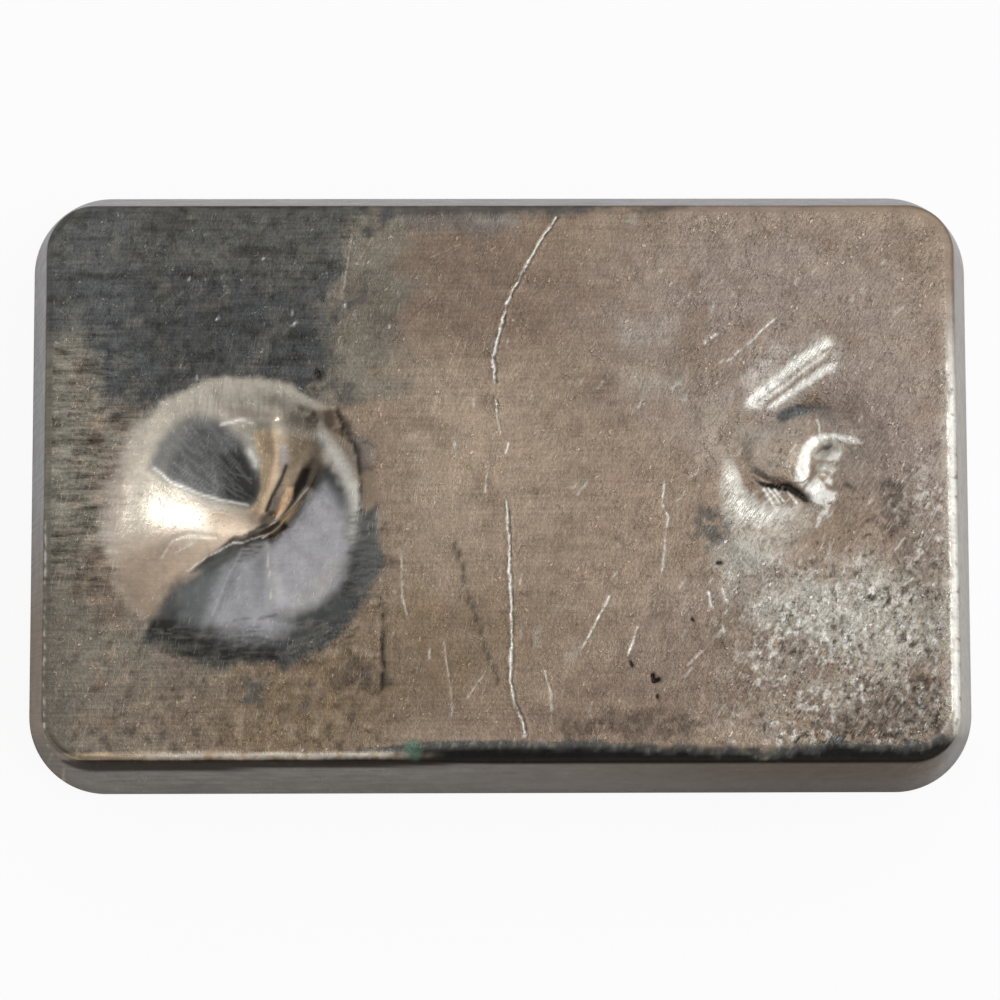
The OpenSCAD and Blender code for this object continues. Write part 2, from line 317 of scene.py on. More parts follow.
# Films and smudges on the face, and the dark zone at the upper left.
FACE_AREAS = (
    Area("pewter", ((14.5, 19.3), (20.4, 19.3), (20.4, 16.3), (14.4, 16.3)), 0.9, 1.2, 0.7, 0.6),
    Area("pewter", ((14.2, 13.4), (22.0, 13.4), (22.0, 10.4), (14.2, 10.4)), 0.9, 1.2, 0.7, 0.6),
    Area("pewter", ((-3.3, 31.5), (2.0, 31.5), (2.0, 30.6), (-3.3, 30.6)), 0.4, 0.3, 0.2, 0.8),
    Area("pewter", ((14.8, 31.5), (16.2, 31.4), (16.2, 30.3), (14.8, 30.3)), 0.4, 0.3, 0.2, 0.8),
    Area("umber", ((-16.5, 24.7), (-11.6, 24.7), (-12.6, 18.2), (-16.5, 18.2)), 0.8, 1.2, 0.6, 0.8),
    Area("ochre", ((-15.5, 23.7), (-12.6, 24.0), (-14.0, 20.2), (-16.0, 20.2)), 0.8, 1.0, 0.5, 0.8),
    Area("ash", ((-60.0, 40.0), (-8.0, 40.0), (-9.0, 30.0), (-10.5, 24.0), (-13.0, 19.0), (-14.5, 12.0),
         (-17.0, 8.0), (-24.0, 7.0), (-60.0, 14.0)), 2.6, 3.4, 0.2, 0.7),
    Area("umber", ((-19.0, 24.5), (-12.0, 23.0), (-12.0, 16.0), (-19.0, 15.5)), 1.5, 1.6, 0.5, 0.4),
    Area("soot", UPPER_LEFT, 1.5, 3.2, 0.12, 1.0),
    Area("soot", ((-30.0, -23.4), (-27.6, -23.7), (-27.4, -26.2), (-30.1, -26.0)), 0.4, 0.8, 0.6, 0.75),
    Area("soot", ((-23.6, -26.2), (-22.6, -26.2), (-22.6, -27.2), (-23.6, -27.2)), 0.3, 0.4, 0.4, 0.8),
    Area("umber", ((-20.1, -23.5), (-17.3, -21.3), (-14.1, -22.3), (-11.6, -23.9), (-15.7, -25.1),
         (-19.5, -24.8)), 0.6, 1.2, 0.6, 0.85),
    Area("soot", ((22.3, -2.8), (27.4, -4.4), (26.3, -6.9), (24.5, -8.7), (22.0, -6.9)), 0.7, 0.8, 0.85,
         0.75),
    Area("slate", ((25.8, -7.2), (29.9, -6.7), (30.9, -10.3), (27.3, -10.3)), 1.2, 0.8, 0.3, 0.5),
    Area("umber", ((44.4, -0.3), (48.2, -0.5), (48.9, -4.6), (45.8, -7.2), (44.3, -4.6)), 0.6, 0.7, 0.85,
         0.75),
    Area("umber", ((46.0, -7.0), (51.5, -5.0), (51.5, -20.0), (49.0, -22.0), (47.5, -14.0)), 0.8, 1.2, 1.0,
         0.4),
    Area("umber", ((36.0, -26.0), (43.0, -27.0), (51.0, -22.0), (51.5, -29.0), (44.0, -30.0),
         (37.0, -29.5)), 1.0, 1.4, 0.9, 0.6),
    Area("umber", ((7.0, -27.9), (16.0, -26.6), (25.0, -28.2), (21.0, -30.6), (7.0, -30.4)), 0.7, 1.4, 0.7,
         0.75),
    Area("slate", ((-12.0, 31.9), (2.0, 31.9), (2.0, 29.8), (-4.0, 29.4), (-11.0, 29.8)), 0.7, 0.8, 0.3,
         0.5),
    Area("soot", ((-14.5, 33.5), (14.0, 33.5), (10.0, 31.9), (-14.5, 31.4)), 0.4, 0.6, 0.2, 0.85),
    Area("soot", ((8.0, 33.5), (24.0, 33.5), (22.0, 32.3), (8.0, 32.0)), 0.5, 0.8, 0.7, 0.6),
    Area("umber", ((1.0, -13.1), (3.2, -13.0), (3.2, -13.6), (1.0, -13.6)), 0.25, 0.2, 0.4, 0.5),
    Area("umber", ((1.4, -21.9), (3.8, -21.9), (3.8, -22.5), (1.4, -22.5)), 0.25, 0.2, 0.4, 0.5),
    Area("pewter", ((3.8, -17.4), (4.4, -17.4), (4.4, -19.6), (3.8, -19.6)), 0.25, 0.1, 0.3, 0.7),
    Area("pewter", ((7.2, -20.2), (9.4, -20.2), (8.8, -21.2), (7.6, -21.0)), 0.3, 0.2, 0.3, 0.7),
    Area("brown", ((-44.0, -6.0), (-49.0, -8.0), (-48.0, -16.0), (-43.5, -18.0), (-42.0, -14.0)), 1.2, 1.0,
         0.2, 0.6),
)
# What is painted in the creased sink: films, then lines. Among them are painted reflections, the dark patch,
# the lavender slopes and the orange streak in the gully, and painted highlights at the dark patch's edges.
CREASED_SINK_AREAS = (
    Area("clay", ((-22.2, 8.4), (-20.4, 6.0), (-18.2, 2.6), (-16.7, -1.2), (-16.4, -4.0), (-11.0, -4.0),
         (-11.0, 10.0)), 0.5, 0.3, 0.0, 1.0),
    Area("slate", ((-18.2, 6.6), (-15.3, 4.8), (-14.7, 3.0), (-15.8, 1.1), (-17.8, 1.8)), 0.7, 0.4, 0.3,
         0.55),
    Area("soot", ((-41.1, -16.2), (-39.0, -12.5), (-35.8, -10.6), (-32.6, -8.7), (-30.4, -7.6),
         (-27.2, -6.0), (-22.4, -0.6), (-22.1, 3.2), (-20.3, 2.4), (-17.5, -3.9), (-14.4, -3.3),
         (-14.2, -6.1), (-14.4, -9.8), (-15.6, -13.6), (-17.5, -16.6), (-19.9, -19.2), (-22.7, -21.0),
         (-25.6, -21.6), (-29.3, -22.0), (-33.1, -22.0), (-35.9, -21.3), (-38.7, -20.0), (-41.6, -18.6)),
         0.8, 0.8, 0.1, 1.0),
    Area("black", ((-41.0, -16.6), (-38.2, -15.2), (-35.6, -18.4), (-31.0, -20.0), (-26.0, -19.6),
         (-26.0, -21.4), (-33.0, -21.8), (-38.5, -19.8), (-41.4, -18.4)), 0.9, 0.5, 0.3, 0.8),
    Area("slate", ((-17.0, -4.0), (-14.4, -4.0), (-14.4, -9.8), (-15.8, -13.4), (-17.2, -12.0)), 0.7, 0.4,
         0.3, 0.6),
    Area("taupe", ((-47.4, -3.1), (-47.0, 1.2), (-45.1, 4.5), (-43.7, 2.6), (-44.1, -1.2), (-44.6, -4.5),
         (-45.0, -6.9), (-46.9, -6.0)), 1.2, 0.4, 0.0, 0.6),
    Area("slate", ((-38.5, -13.0), (-33.0, -9.6), (-30.6, -8.2), (-32.4, -12.0), (-34.6, -17.2),
         (-37.6, -17.0)), 1.2, 0.2, 0.0, 0.75),
    # Painted reflection: the lavender slopes below the crease.
    Area("lavender", ((-27.7, -7.0), (-27.1, -15.0), (-24.6, -16.9), (-27.5, -18.2), (-31.2, -18.0),
         (-34.4, -16.6), (-33.4, -12.8), (-31.8, -9.6), (-30.2, -7.8)), 1.8, 0.3, 0.0, 0.75),
    Area("lavender", ((-20.9, -0.2), (-18.7, -3.5), (-18.0, -8.0), (-19.0, -12.0), (-21.6, -14.6),
         (-24.5, -15.6), (-27.3, -15.2), (-27.7, -7.2), (-25.9, -4.9), (-22.6, -1.5)), 1.1, 0.2, 0.0, 1.0),
    Area("pearl", ((-20.4, -9.6), (-19.0, -9.4), (-20.0, -12.2), (-22.4, -14.4), (-25.5, -15.2),
         (-24.5, -13.8), (-21.8, -12.2)), 1.6, 0.2, 0.0, 0.45),
    Area("pearl", ((-41.5, 5.6), (-35.8, 9.4), (-30.4, 9.6), (-25.1, 8.4), (-21.5, 5.8), (-22.6, 4.6),
         (-26.4, 6.6), (-31.5, 8.0), (-36.4, 7.8), (-41.2, 4.0)), 0.8, 0.3, 0.0, 0.35),
    Area("brown", ((-33.0, 8.9), (-24.0, 8.3), (-22.0, 5.9), (-25.5, 6.4), (-32.0, 7.6)), 0.7, 0.3, 0.0,
         0.55),
    # Painted reflection: the dark patch on the upper slope, darkest towards its right.
    Area("slate", ((-41.6, 1.4), (-40.6, 4.6), (-38.4, 6.8), (-35.9, 8.2), (-33.6, 7.6), (-32.6, 6.9),
         (-30.6, 5.0), (-29.6, 3.0), (-28.6, 0.6), (-28.7, -1.4), (-29.8, -2.6), (-32.0, -2.6),
         (-35.6, -1.6), (-39.1, -0.1)), 0.8, 0.2, 0.0, 0.85),
    Area("soot", ((-38.6, 3.6), (-36.4, 6.6), (-33.6, 6.6), (-31.0, 4.4), (-29.6, 2.0), (-29.0, -1.2),
         (-30.2, -2.4), (-33.0, -2.0), (-36.6, -0.8), (-39.6, 0.6)), 0.9, 0.2, 0.0, 0.7),
    Area("black", ((-33.3, 3.2), (-31.2, 4.1), (-29.8, 2.3), (-28.9, -0.1), (-29.1, -1.4), (-30.1, -2.3),
         (-31.4, -2.6), (-33.3, -2.1)), 0.8, 0.15, 0.0, 0.6),
    Area("honey", ((-29.3, 6.1), (-26.4, 6.1), (-26.2, 3.5), (-26.4, 1.7), (-26.9, -0.7), (-27.8, -3.3),
         (-29.2, -4.3), (-30.2, -3.3), (-29.0, -1.9), (-28.5, -0.5), (-28.8, 1.9), (-29.1, 4.1)), 0.35,
         0.12, 0.0, 0.95),
    Area("tan", ((-35.0, -3.6), (-31.0, -3.0), (-27.8, -4.6), (-30.0, -6.2), (-36.0, -9.6), (-40.6, -12.4),
         (-37.5, -8.0), (-34.6, -5.6)), 0.7, 0.2, 0.0, 0.8),
    Area("clay", ((-26.0, 5.4), (-21.6, 5.2), (-21.4, 2.4), (-24.2, -1.0), (-26.6, -2.6), (-26.3, 0.8)),
         0.6, 0.2, 0.0, 0.9),
    Area("honey", ((-26.4, 6.0), (-22.2, 5.6), (-22.0, 3.0), (-24.4, -0.6), (-26.4, -2.0), (-26.3, 0.8)),
         0.9, 0.5, 0.4, 0.4),
    Area("lavender", ((-26.3, 4.5), (-25.3, 4.5), (-25.2, 1.9), (-26.1, 1.9)), 0.4, 0.2, 0.3, 0.6),
    Area("umber", ((-23.2, 2.2), (-21.6, 3.4), (-20.9, 1.4), (-22.2, -0.6), (-23.6, -0.2)), 0.6, 0.2, 0.0,
         0.8),
    Area("black", ((-24.7, 0.1), (-23.7, 1.8), (-22.5, 1.8), (-23.2, -0.2), (-24.8, -2.2), (-26.0, -3.6),
         (-26.8, -4.3), (-25.7, -2.7)), 0.3, 0.1, 0.0, 0.9),
    # Painted reflection: the orange streak in the gully.
    Area("copper", ((-25.5, -0.4), (-24.8, -0.4), (-25.1, -1.8), (-25.8, -3.0), (-26.9, -4.0),
         (-27.4, -3.7), (-26.6, -2.4)), 0.25, 0.08, 0.0, 1.0),
    Area("black", ((-36.8, -10.7), (-34.9, -8.9), (-33.5, -7.7), (-32.6, -6.8), (-30.7, -5.8),
         (-28.8, -4.8), (-26.9, -4.4), (-25.9, -4.3), (-25.2, -5.0), (-26.9, -6.2), (-28.6, -7.0),
         (-30.2, -7.4), (-31.6, -8.0), (-33.0, -8.8), (-34.9, -9.9)), 0.28, 0.3, 0.1, 0.9),
    Area("soot", ((-36.3, -10.4), (-33.4, -8.3), (-31.5, -7.2), (-30.5, -7.4), (-31.2, -8.4), (-32.2, -9.2),
         (-33.4, -10.0), (-34.8, -10.6)), 0.4, 0.12, 0.0, 0.85),
    Area("silver", ((-27.7, -7.4), (-26.8, -9.1), (-26.1, -11.5), (-25.9, -13.8), (-27.1, -14.3),
         (-27.4, -11.5)), 0.7, 0.1, 0.0, 0.3),
    Area("slate", ((-30.6, -8.2), (-28.2, -7.8), (-27.8, -10.3), (-27.6, -14.6), (-31.0, -16.8),
         (-33.4, -13.0)), 1.0, 0.2, 0.0, 0.2),
    Area("umber", ((-23.3, 8.2), (-21.9, 8.6), (-19.5, 8.2), (-18.1, 7.2), (-16.9, 5.5), (-18.1, 4.8),
         (-19.5, 6.0), (-20.9, 6.5), (-21.9, 5.8), (-23.1, 6.5)), 0.4, 0.7, 0.7, 0.85),
)
CREASED_SINK_LINES = (
    Line(((-25.6, 2.0), (-26.2, 0.6), (-27.1, -1.2), (-28.0, -3.1)), 0.28, "black", 0.9),
    # Painted highlights: the white spot at the dark patch's right edge and the bright line along its upper
    # edge.
    Line(((-29.8, 3.6), (-29.4, 2.9), (-29.2, 2.2)), 0.5, "silver", 1.0),
    Line(((-33.1, 6.9), (-30.6, 7.4), (-29.5, 7.0)), 0.2, "silver", 0.95),
    Line(((-30.0, 7.3), (-27.6, 7.3)), 0.3, "pearl", 0.7),
    Line(((-41.0, 1.6), (-39.1, 0.0), (-36.4, -1.1), (-33.2, -2.1), (-30.2, -2.5)), 0.18, "silver", 0.6),
    Line(((-22.9, -0.6), (-24.1, -1.5), (-25.3, -3.6), (-26.5, -4.8), (-27.4, -5.7), (-28.6, -6.4)), 0.13,
         "pearl", 0.9),
    Line(((-37.2, -10.5), (-34.4, -8.5), (-31.9, -7.0), (-30.9, -7.0), (-29.3, -6.4), (-27.9, -5.9)), 0.09,
         "silver", 0.45),
    Line(((-27.9, -7.3), (-27.5, -10.3), (-27.3, -13.8)), 0.09, "silver", 0.5),
    Line(((-30.8, -7.6), (-31.7, -9.7), (-32.9, -12.6), (-34.0, -15.6)), 0.14, "lavender", 0.4),
    Line(((-30.7, -7.4), (-29.8, -7.6), (-28.7, -7.5)), 0.12, "umber", 0.8),
    Line(((-31.0, -8.0), (-30.0, -8.0), (-29.1, -8.2)), 0.11, "umber", 0.7),
    Line(((-31.2, -8.6), (-30.4, -8.5), (-29.5, -8.6)), 0.11, "umber", 0.6),
    Line(((-31.4, -9.2), (-30.7, -9.1), (-30.0, -9.1)), 0.11, "umber", 0.5),
    Line(((-40.1, -9.0), (-39.0, -6.9), (-37.2, -6.2)), 0.1, "silver", 0.3),
    Line(((-36.6, -6.2), (-33.9, -6.5)), 0.1, "silver", 0.3),
    Line(((-38.6, -8.4), (-36.4, -6.9)), 0.09, "silver", 0.25),
    Line(((-21.2, 5.2), (-19.6, 3.2), (-18.5, 1.0), (-17.8, -0.8), (-17.5, -3.2), (-17.6, -6.6)), 0.75,
         "silver", 0.62),
    Line(((-28.4, -16.2), (-26.6, -15.8)), 0.16, "umber", 0.6),
    Line(((-31.5, -16.4), (-29.6, -16.3)), 0.14, "umber", 0.4),
)
# The two scraped bars above the knot, bright as scraped metal and as a painted highlight, and the scraped
# strip below it.
BAR = (
    (29.1, 8.9), (29.7, 10.0), (31.9, 11.8), (34.3, 13.8), (36.7, 15.6), (38.5, 16.6), (39.1, 16.0),
    (37.9, 15.0), (35.5, 13.4), (33.1, 11.6), (31.1, 9.8), (29.9, 8.8))
THIN_BAR = (
    (31.7, 8.6), (33.3, 10.0), (35.5, 11.6), (37.5, 13.0), (39.5, 13.8), (39.7, 13.2), (37.9, 12.0),
    (35.5, 10.6), (33.5, 9.2), (32.3, 8.4))
SCRAPED_STRIP = (
    (25.9, 0.7), (26.7, 2.5), (27.7, 1.3), (28.5, -0.5), (29.4, -1.8), (30.6, -2.7), (31.5, -3.1),
    (34.1, -3.3), (35.3, -2.9), (34.1, -3.7), (32.3, -4.7), (30.6, -5.3), (28.8, -4.9), (27.6, -3.7),
    (26.6, -2.3))
# What is painted in the knotted sink: films, then lines; the silver on the knots and round the hole is partly
# painted highlight.
KNOTTED_SINK_AREAS = (
    Area("pewter", ((27.6, 6.8), (35.4, 7.0), (36.0, 3.0), (34.6, 0.2), (28.6, 1.0)), 1.0, 0.5, 0.1, 0.4),
    Area("brown", ((28.1, 4.8), (29.2, 3.7), (29.7, 1.3), (29.7, -0.5), (29.2, -1.1), (28.3, 0.1),
         (27.6, 1.9)), 0.7, 0.2, 0.0, 0.6),
    Area("frost", ((28.9, 8.6), (29.4, 10.6), (34.0, 14.8), (38.4, 17.6), (40.8, 16.0), (40.4, 13.0),
         (36.6, 10.6), (32.6, 8.0)), 0.9, 0.5, 0.45, 0.45),
    Area("frost", BAR, 0.6, 0.2, 0.0, 0.95),
    Area("silver", BAR, 0.6, 0.2, 0.35, 0.8),
    Area("silver", ((29.3, 8.9), (29.9, 9.7), (31.4, 10.9), (33.1, 12.0), (33.8, 11.5), (32.6, 10.4),
         (31.2, 9.4), (30.0, 8.6)), 0.6, 0.15, 0.1, 0.5),
    Area("silver", THIN_BAR, 0.5, 0.15, 0.1, 0.9),
    Area("clay", ((35.0, 9.8), (38.6, 12.2), (39.4, 11.6), (37.6, 9.4), (36.0, 9.0)), 0.6, 0.2, 0.0, 0.5),
    Area("slate", ((32.6, 7.5), (33.1, 8.2), (34.3, 8.8), (35.5, 9.1), (36.7, 8.8), (37.8, 8.9),
         (38.3, 8.4), (36.9, 8.3), (36.2, 7.9), (35.0, 7.6), (33.8, 7.2), (33.1, 7.0)), 0.3, 0.12, 0.0,
         0.95),
    Area("soot", ((32.7, 7.5), (33.2, 8.1), (34.3, 8.5), (34.6, 8.2), (34.0, 7.3), (33.2, 7.0)), 0.35, 0.1,
         0.0, 0.85),
    Area("slate", ((37.6, 8.2), (38.5, 8.4), (39.5, 7.2), (40.0, 6.7), (38.8, 6.7), (37.8, 7.5)), 0.5, 0.2,
         0.2, 0.45),
    Area("pewter", ((38.5, 6.6), (43.0, 6.0), (44.0, 1.0), (42.0, -1.0), (39.5, 0.5)), 1.2, 0.5, 0.2, 0.3),
    Area("frost", ((25.8, -0.7), (29.0, -3.9), (31.7, -3.9), (35.3, -3.1), (38.4, -2.7), (37.6, -4.7),
         (34.4, -7.1), (31.7, -9.4), (27.7, -8.6), (26.6, -5.5)), 1.5, 0.8, 0.25, 0.6),
    Area("pewter", SCRAPED_STRIP, 0.9, 0.4, 0.1, 0.7),
    Area("silver", SCRAPED_STRIP, 0.7, 0.4, 0.5, 0.65),
    Area("clay", ((36.6, -4.6), (44.3, -3.1), (43.0, -7.7), (36.5, -9.5)), 1.5, 0.6, 0.0, 0.7),
    Area("silver", ((28.3, 11.6), (29.4, 10.8), (33.6, 15.2), (32.7, 16.1)), 0.9, 0.4, 0.6, 0.4),
    Area("black", ((30.1, 0.1), (31.1, -0.1), (32.6, -0.3), (34.0, -0.3), (35.0, -0.9), (36.2, -1.9),
         (37.0, -2.5), (36.0, -2.5), (34.6, -1.7), (33.4, -1.3), (31.8, -1.1), (30.7, -0.5)), 0.22, 0.1,
         0.0, 0.95),
    # From here on the silver is painted highlight: the lit inner slope round the hole, the white knots and
    # the white spot in the hole.
    Area("silver", ((35.1, 1.5), (35.3, 2.9), (35.8, 4.1), (36.8, 5.1), (38.2, 5.5), (39.8, 5.5),
         (41.4, 5.2), (42.8, 4.5), (41.6, 4.4), (40.2, 4.8), (38.8, 4.9), (37.6, 4.4), (36.8, 3.5),
         (36.6, 2.5), (36.4, 1.5), (36.2, 0.1), (35.4, 0.1)), 0.3, 0.12, 0.1, 1.0),
    Area("silver", ((34.8, -0.1), (34.7, 0.9), (35.2, 2.1), (36.2, 2.3), (36.6, 1.3), (36.2, -0.1),
         (35.6, -0.7)), 0.3, 0.12, 0.1, 0.9),
    Area("frost", ((36.8, 3.1), (37.4, 4.1), (38.6, 4.8), (39.8, 4.8), (40.4, 4.1), (40.2, 3.1),
         (39.4, 2.6), (38.2, 2.5), (37.4, 2.6)), 0.25, 0.08, 0.0, 0.9),
    Area("umber", ((37.4, 3.3), (38.2, 4.1), (39.2, 4.3), (39.0, 3.7), (38.2, 3.2)), 0.28, 0.12, 0.2, 0.85),
    Area("silver", ((38.6, 2.7), (39.4, 3.5), (40.4, 3.4), (40.0, 2.4)), 0.3, 0.05, 0.0, 1.0),
    Area("frost", ((37.4, 2.1), (39.0, 2.1), (39.8, 1.5), (39.2, 0.7), (38.2, 0.9), (37.4, 1.3)), 0.3, 0.1,
         0.0, 0.8),
    Area("silver", ((35.8, -1.3), (36.4, -0.3), (37.4, 0.5), (38.1, -0.3), (38.5, -1.1), (39.7, -1.5),
         (39.5, -2.3), (38.3, -2.8), (36.9, -2.3)), 0.3, 0.1, 0.0, 1.0),
    Area("silver", ((38.3, -0.1), (38.8, 0.5), (39.3, 0.1), (39.1, -0.5)), 0.25, 0.05, 0.0, 1.0),
)
# The upper border of the dark band along the front edge, grime and painted dark reflection.
BAND_TOP = (
    (-24.0, -33.4), (-20.0, -31.9), (-14.3, -31.2), (-9.6, -30.5), (-0.2, -30.3), (11.5, -30.5),
    (17.3, -30.8), (23.2, -31.0), (31.7, -31.6), (36.3, -31.0), (39.6, -30.2), (41.4, -30.7), (49.0, -30.7),
    (52.3, -29.7))
KNOTTED_SINK_LINES = (
    Line(((29.5, 9.5), (34.4, 13.6), (38.5, 16.5)), 0.2, "silver", 0.9),
    Line(((30.2, 9.2), (35.0, 13.0), (38.9, 15.7)), 0.13, "taupe", 0.7),
    Line(((30.8, 9.2), (35.6, 12.8), (38.4, 14.8)), 0.15, "silver", 0.7),
    Line(((31.5, 9.1), (35.4, 12.0), (38.6, 14.1)), 0.16, "brown", 0.7),
    Line(((31.9, 8.7), (35.5, 11.3), (39.3, 13.6)), 0.18, "silver", 1.0),
    Line(((33.0, 8.8), (36.0, 10.8), (38.8, 12.4)), 0.2, "brown", 0.6),
    Line(((37.8, 5.3), (37.7, 6.3), (37.5, 7.2)), 0.13, "silver", 0.7),
    Line(((34.8, -0.3), (35.7, -0.2), (36.4, 0.3)), 0.1, "umber", 0.8),
    Line(((36.8, -2.2), (37.9, -2.7), (38.6, -3.1), (38.3, -3.9)), 0.28, "silver", 1.0),
    Line(((38.2, -3.7), (37.2, -5.5)), 0.15, "silver", 0.8),
    Line(((37.8, -3.9), (37.4, -4.7)), 0.12, "silver", 0.7),
    Line(((35.0, 8.9), (35.7, 9.1), (36.7, 8.8)), 0.15, "black", 0.6),
    Line(((31.1, -1.0), (32.2, -3.1)), 0.17, "silver", 1.0),
    Line(((31.6, -0.9), (32.8, -2.7)), 0.13, "silver", 0.95),
    Line(((32.3, -1.1), (33.3, -2.5)), 0.13, "silver", 0.9),
    Line(((33.8, -1.4), (34.9, -2.7)), 0.13, "silver", 0.9),
    Line(((40.9, -0.5), (41.6, -1.0)), 0.4, "umber", 0.85),
)
# The crowds of strokes; the place of each in this list is the seed of its draw.
STROKES = (
    Scatter("silver", (35.0, -16.0), (14.0, 9.0), 90, 58.0, 14.0, (0.4, 2.0), 0.12, 0.5, 0.03),
    Scatter("pewter", (33.0, -19.0), (12.0, 10.0), 120, 60.0, 40.0, (0.2, 1.2), 0.25, 0.4, 0.03),
    Scatter("brown", (38.0, -20.0), (14.0, 10.0), 140, 60.0, 40.0, (0.2, 1.4), 0.3, 0.45, 0.03),
    Scatter("silver", (34.0, 8.0), (15.0, 18.0), 60, 58.0, 18.0, (0.2, 1.2), 0.12, 0.45, 0.03),
    Scatter("silver", (29.8, -3.4), (4.0, 2.0), 80, 42.0, 7.0, (0.6, 1.8), 0.11, 0.5, 0.015),
    Scatter("umber", (29.8, -3.4), (4.0, 2.0), 50, 42.0, 7.0, (0.6, 1.8), 0.11, 0.4, 0.015),
    Scatter("lavender", (-34.4, 2.4), (3.8, 3.6), 80, -48.0, 13.0, (1.2, 4.0), 0.11, 0.24, 0.0),
    Scatter("frost", (-31.0, 9.4), (6.0, 1.2), 80, 86.0, 4.0, (0.8, 2.2), 0.1, 0.55, 0.0),
    Scatter("taupe", (-31.0, 9.4), (6.0, 1.2), 60, 86.0, 4.0, (0.8, 2.2), 0.1, 0.6, 0.0),
    Scatter("umber", (40.0, -18.0), (12.5, 12.0), 200, 45.0, 45.0, (0.05, 0.5), 0.16, 0.75, 0.05),
    Scatter("black", (46.0, -16.0), (6.0, 13.0), 60, 45.0, 45.0, (0.05, 0.5), 0.18, 0.85, 0.08),
    Scatter("black", (46.0, -26.6), (6.0, 3.4), 120, 30.0, 45.0, (0.1, 0.9), 0.18, 0.8, 0.08),
    Scatter("pewter", (-27.0, 19.0), (11.0, 9.0), 40, 60.0, 16.0, (0.3, 1.3), 0.1, 0.4, 0.02),
    Scatter("silver", (-31.0, 19.0), (14.0, 8.0), 9, 65.0, 12.0, (0.1, 0.6), 0.1, 0.8, 0.02),
    Scatter("silver", (2.0, -4.0), (17.0, 26.0), 20, 76.0, 14.0, (0.2, 1.4), 0.1, 0.5, 0.03),
    Scatter("black", (-33.5, -19.4), (7.0, 2.2), 80, 0.0, 8.0, (0.8, 3.0), 0.14, 0.5, 0.0),
    Scatter("ash", (-33.5, -19.4), (7.0, 2.2), 60, 0.0, 8.0, (0.8, 3.4), 0.12, 0.32, 0.0),
    Scatter("black", (-16.2, -9.6), (1.8, 6.0), 60, 0.0, 10.0, (0.6, 2.0), 0.13, 0.5, 0.0),
    Scatter("ash", (-16.2, -9.6), (1.8, 6.0), 60, 0.0, 10.0, (0.6, 2.0), 0.12, 0.5, 0.0),
    Scatter("black", (-21.0, -18.2), (3.6, 1.8), 50, 20.0, 10.0, (0.6, 2.0), 0.13, 0.5, 0.0),
    Scatter("ash", (-21.0, -18.2), (3.6, 1.8), 40, 20.0, 10.0, (0.6, 2.0), 0.12, 0.5, 0.0),
)


# Arithmetic on arrays of places.
LATTICE = 256
NOISE_GAIN = 1.5
# The seeds of two noises lie this far apart, so that their octaves share none.
SEED_STEP = 16
# Strokes differ in strength, and colour this far past their ends, in millimetres.
STROKE_STRENGTH = (0.35, 1.0)
STROKE_MARGIN = 0.6


def ease(low, high, value):
    """Rises smoothly from 0 at low to 1 at high."""
    share = np.clip((value - low) / (high - low), 0.0, 1.0)
    return share * share * (3.0 - 2.0 * share)


def line_distance(x, y, line):
    """Distance from each place to a line of straight stretches."""
    best = np.full(x.shape, np.inf)
    for (ax, ay), (bx, by) in zip(line, line[1:]):
        dx, dy = bx - ax, by - ay
        share = np.clip(((x - ax) * dx + (y - ay) * dy) / (dx * dx + dy * dy), 0.0, 1.0)
        best = np.minimum(best, np.hypot(x - ax - share * dx, y - ay - share * dy))
    return best


def lines_distance(x, y, lines):
    """Distance from each place to the nearest of several lines."""
    return np.min([line_distance(x, y, line) for line in lines], axis=0)


def bell(distance, width):
    """1 on a line, falling off smoothly with the distance from it."""
    return np.exp(-(distance / width) ** 2)


def ripple(x, y, seed):
    """Smooth noise of about plus or minus one, with features one unit across."""
    draw = np.random.default_rng(seed)
    turn = draw.random(LATTICE) * 2.0 * math.pi
    shuffle = draw.permutation(LATTICE)
    left, low = np.floor(x).astype(int), np.floor(y).astype(int)
    across, up = x - left, y - low

    def corner(i, j):
        lean = turn[(shuffle[(left + i) % LATTICE] + low + j) % LATTICE]
        return np.cos(lean) * (across - i) + np.sin(lean) * (up - j)

    u, v = ease(0.0, 1.0, across), ease(0.0, 1.0, up)
    lower = corner(0, 0) * (1.0 - u) + corner(1, 0) * u
    upper = corner(0, 1) * (1.0 - u) + corner(1, 1) * u
    return NOISE_GAIN * (lower * (1.0 - v) + upper * v)


def cloud(x, y, noise):
    """Fractal noise of about plus or minus one."""
    c, s = math.cos(math.radians(noise.lean)), math.sin(math.radians(noise.lean))
    along = (x * c + y * s) / noise.stretch / noise.size
    aside = (y * c - x * s) / noise.size
    return sum(ripple(along * 2 ** k, aside * 2 ** k, noise.seed * SEED_STEP + k) / 2 ** k
               for k in range(noise.octaves))


def disc(x, y, spot):
    """A soft-edged ellipse: 1 inside, 0 outside."""
    c, s = math.cos(math.radians(spot.turn)), math.sin(math.radians(spot.turn))
    u = (x - spot.middle[0]) * c + (y - spot.middle[1]) * s
    v = ((y - spot.middle[1]) * c - (x - spot.middle[0]) * s) / spot.squash
    return 1.0 - ease(spot.reach - spot.soft, spot.reach + spot.soft, np.hypot(u, v))


def patch(x, y, outline, soft):
    """A soft-edged polygon: 1 inside, 0 outside."""
    inside = np.zeros(x.shape, bool)
    closed = tuple(outline) + (outline[0],)
    for (ax, ay), (bx, by) in zip(closed, closed[1:]):
        if ay != by:
            inside ^= ((ay > y) != (by > y)) & (x < (bx - ax) * (y - ay) / (by - ay) + ax)
    signed = line_distance(x, y, closed) * np.where(inside, 1.0, -1.0)
    return ease(-soft, soft, signed)


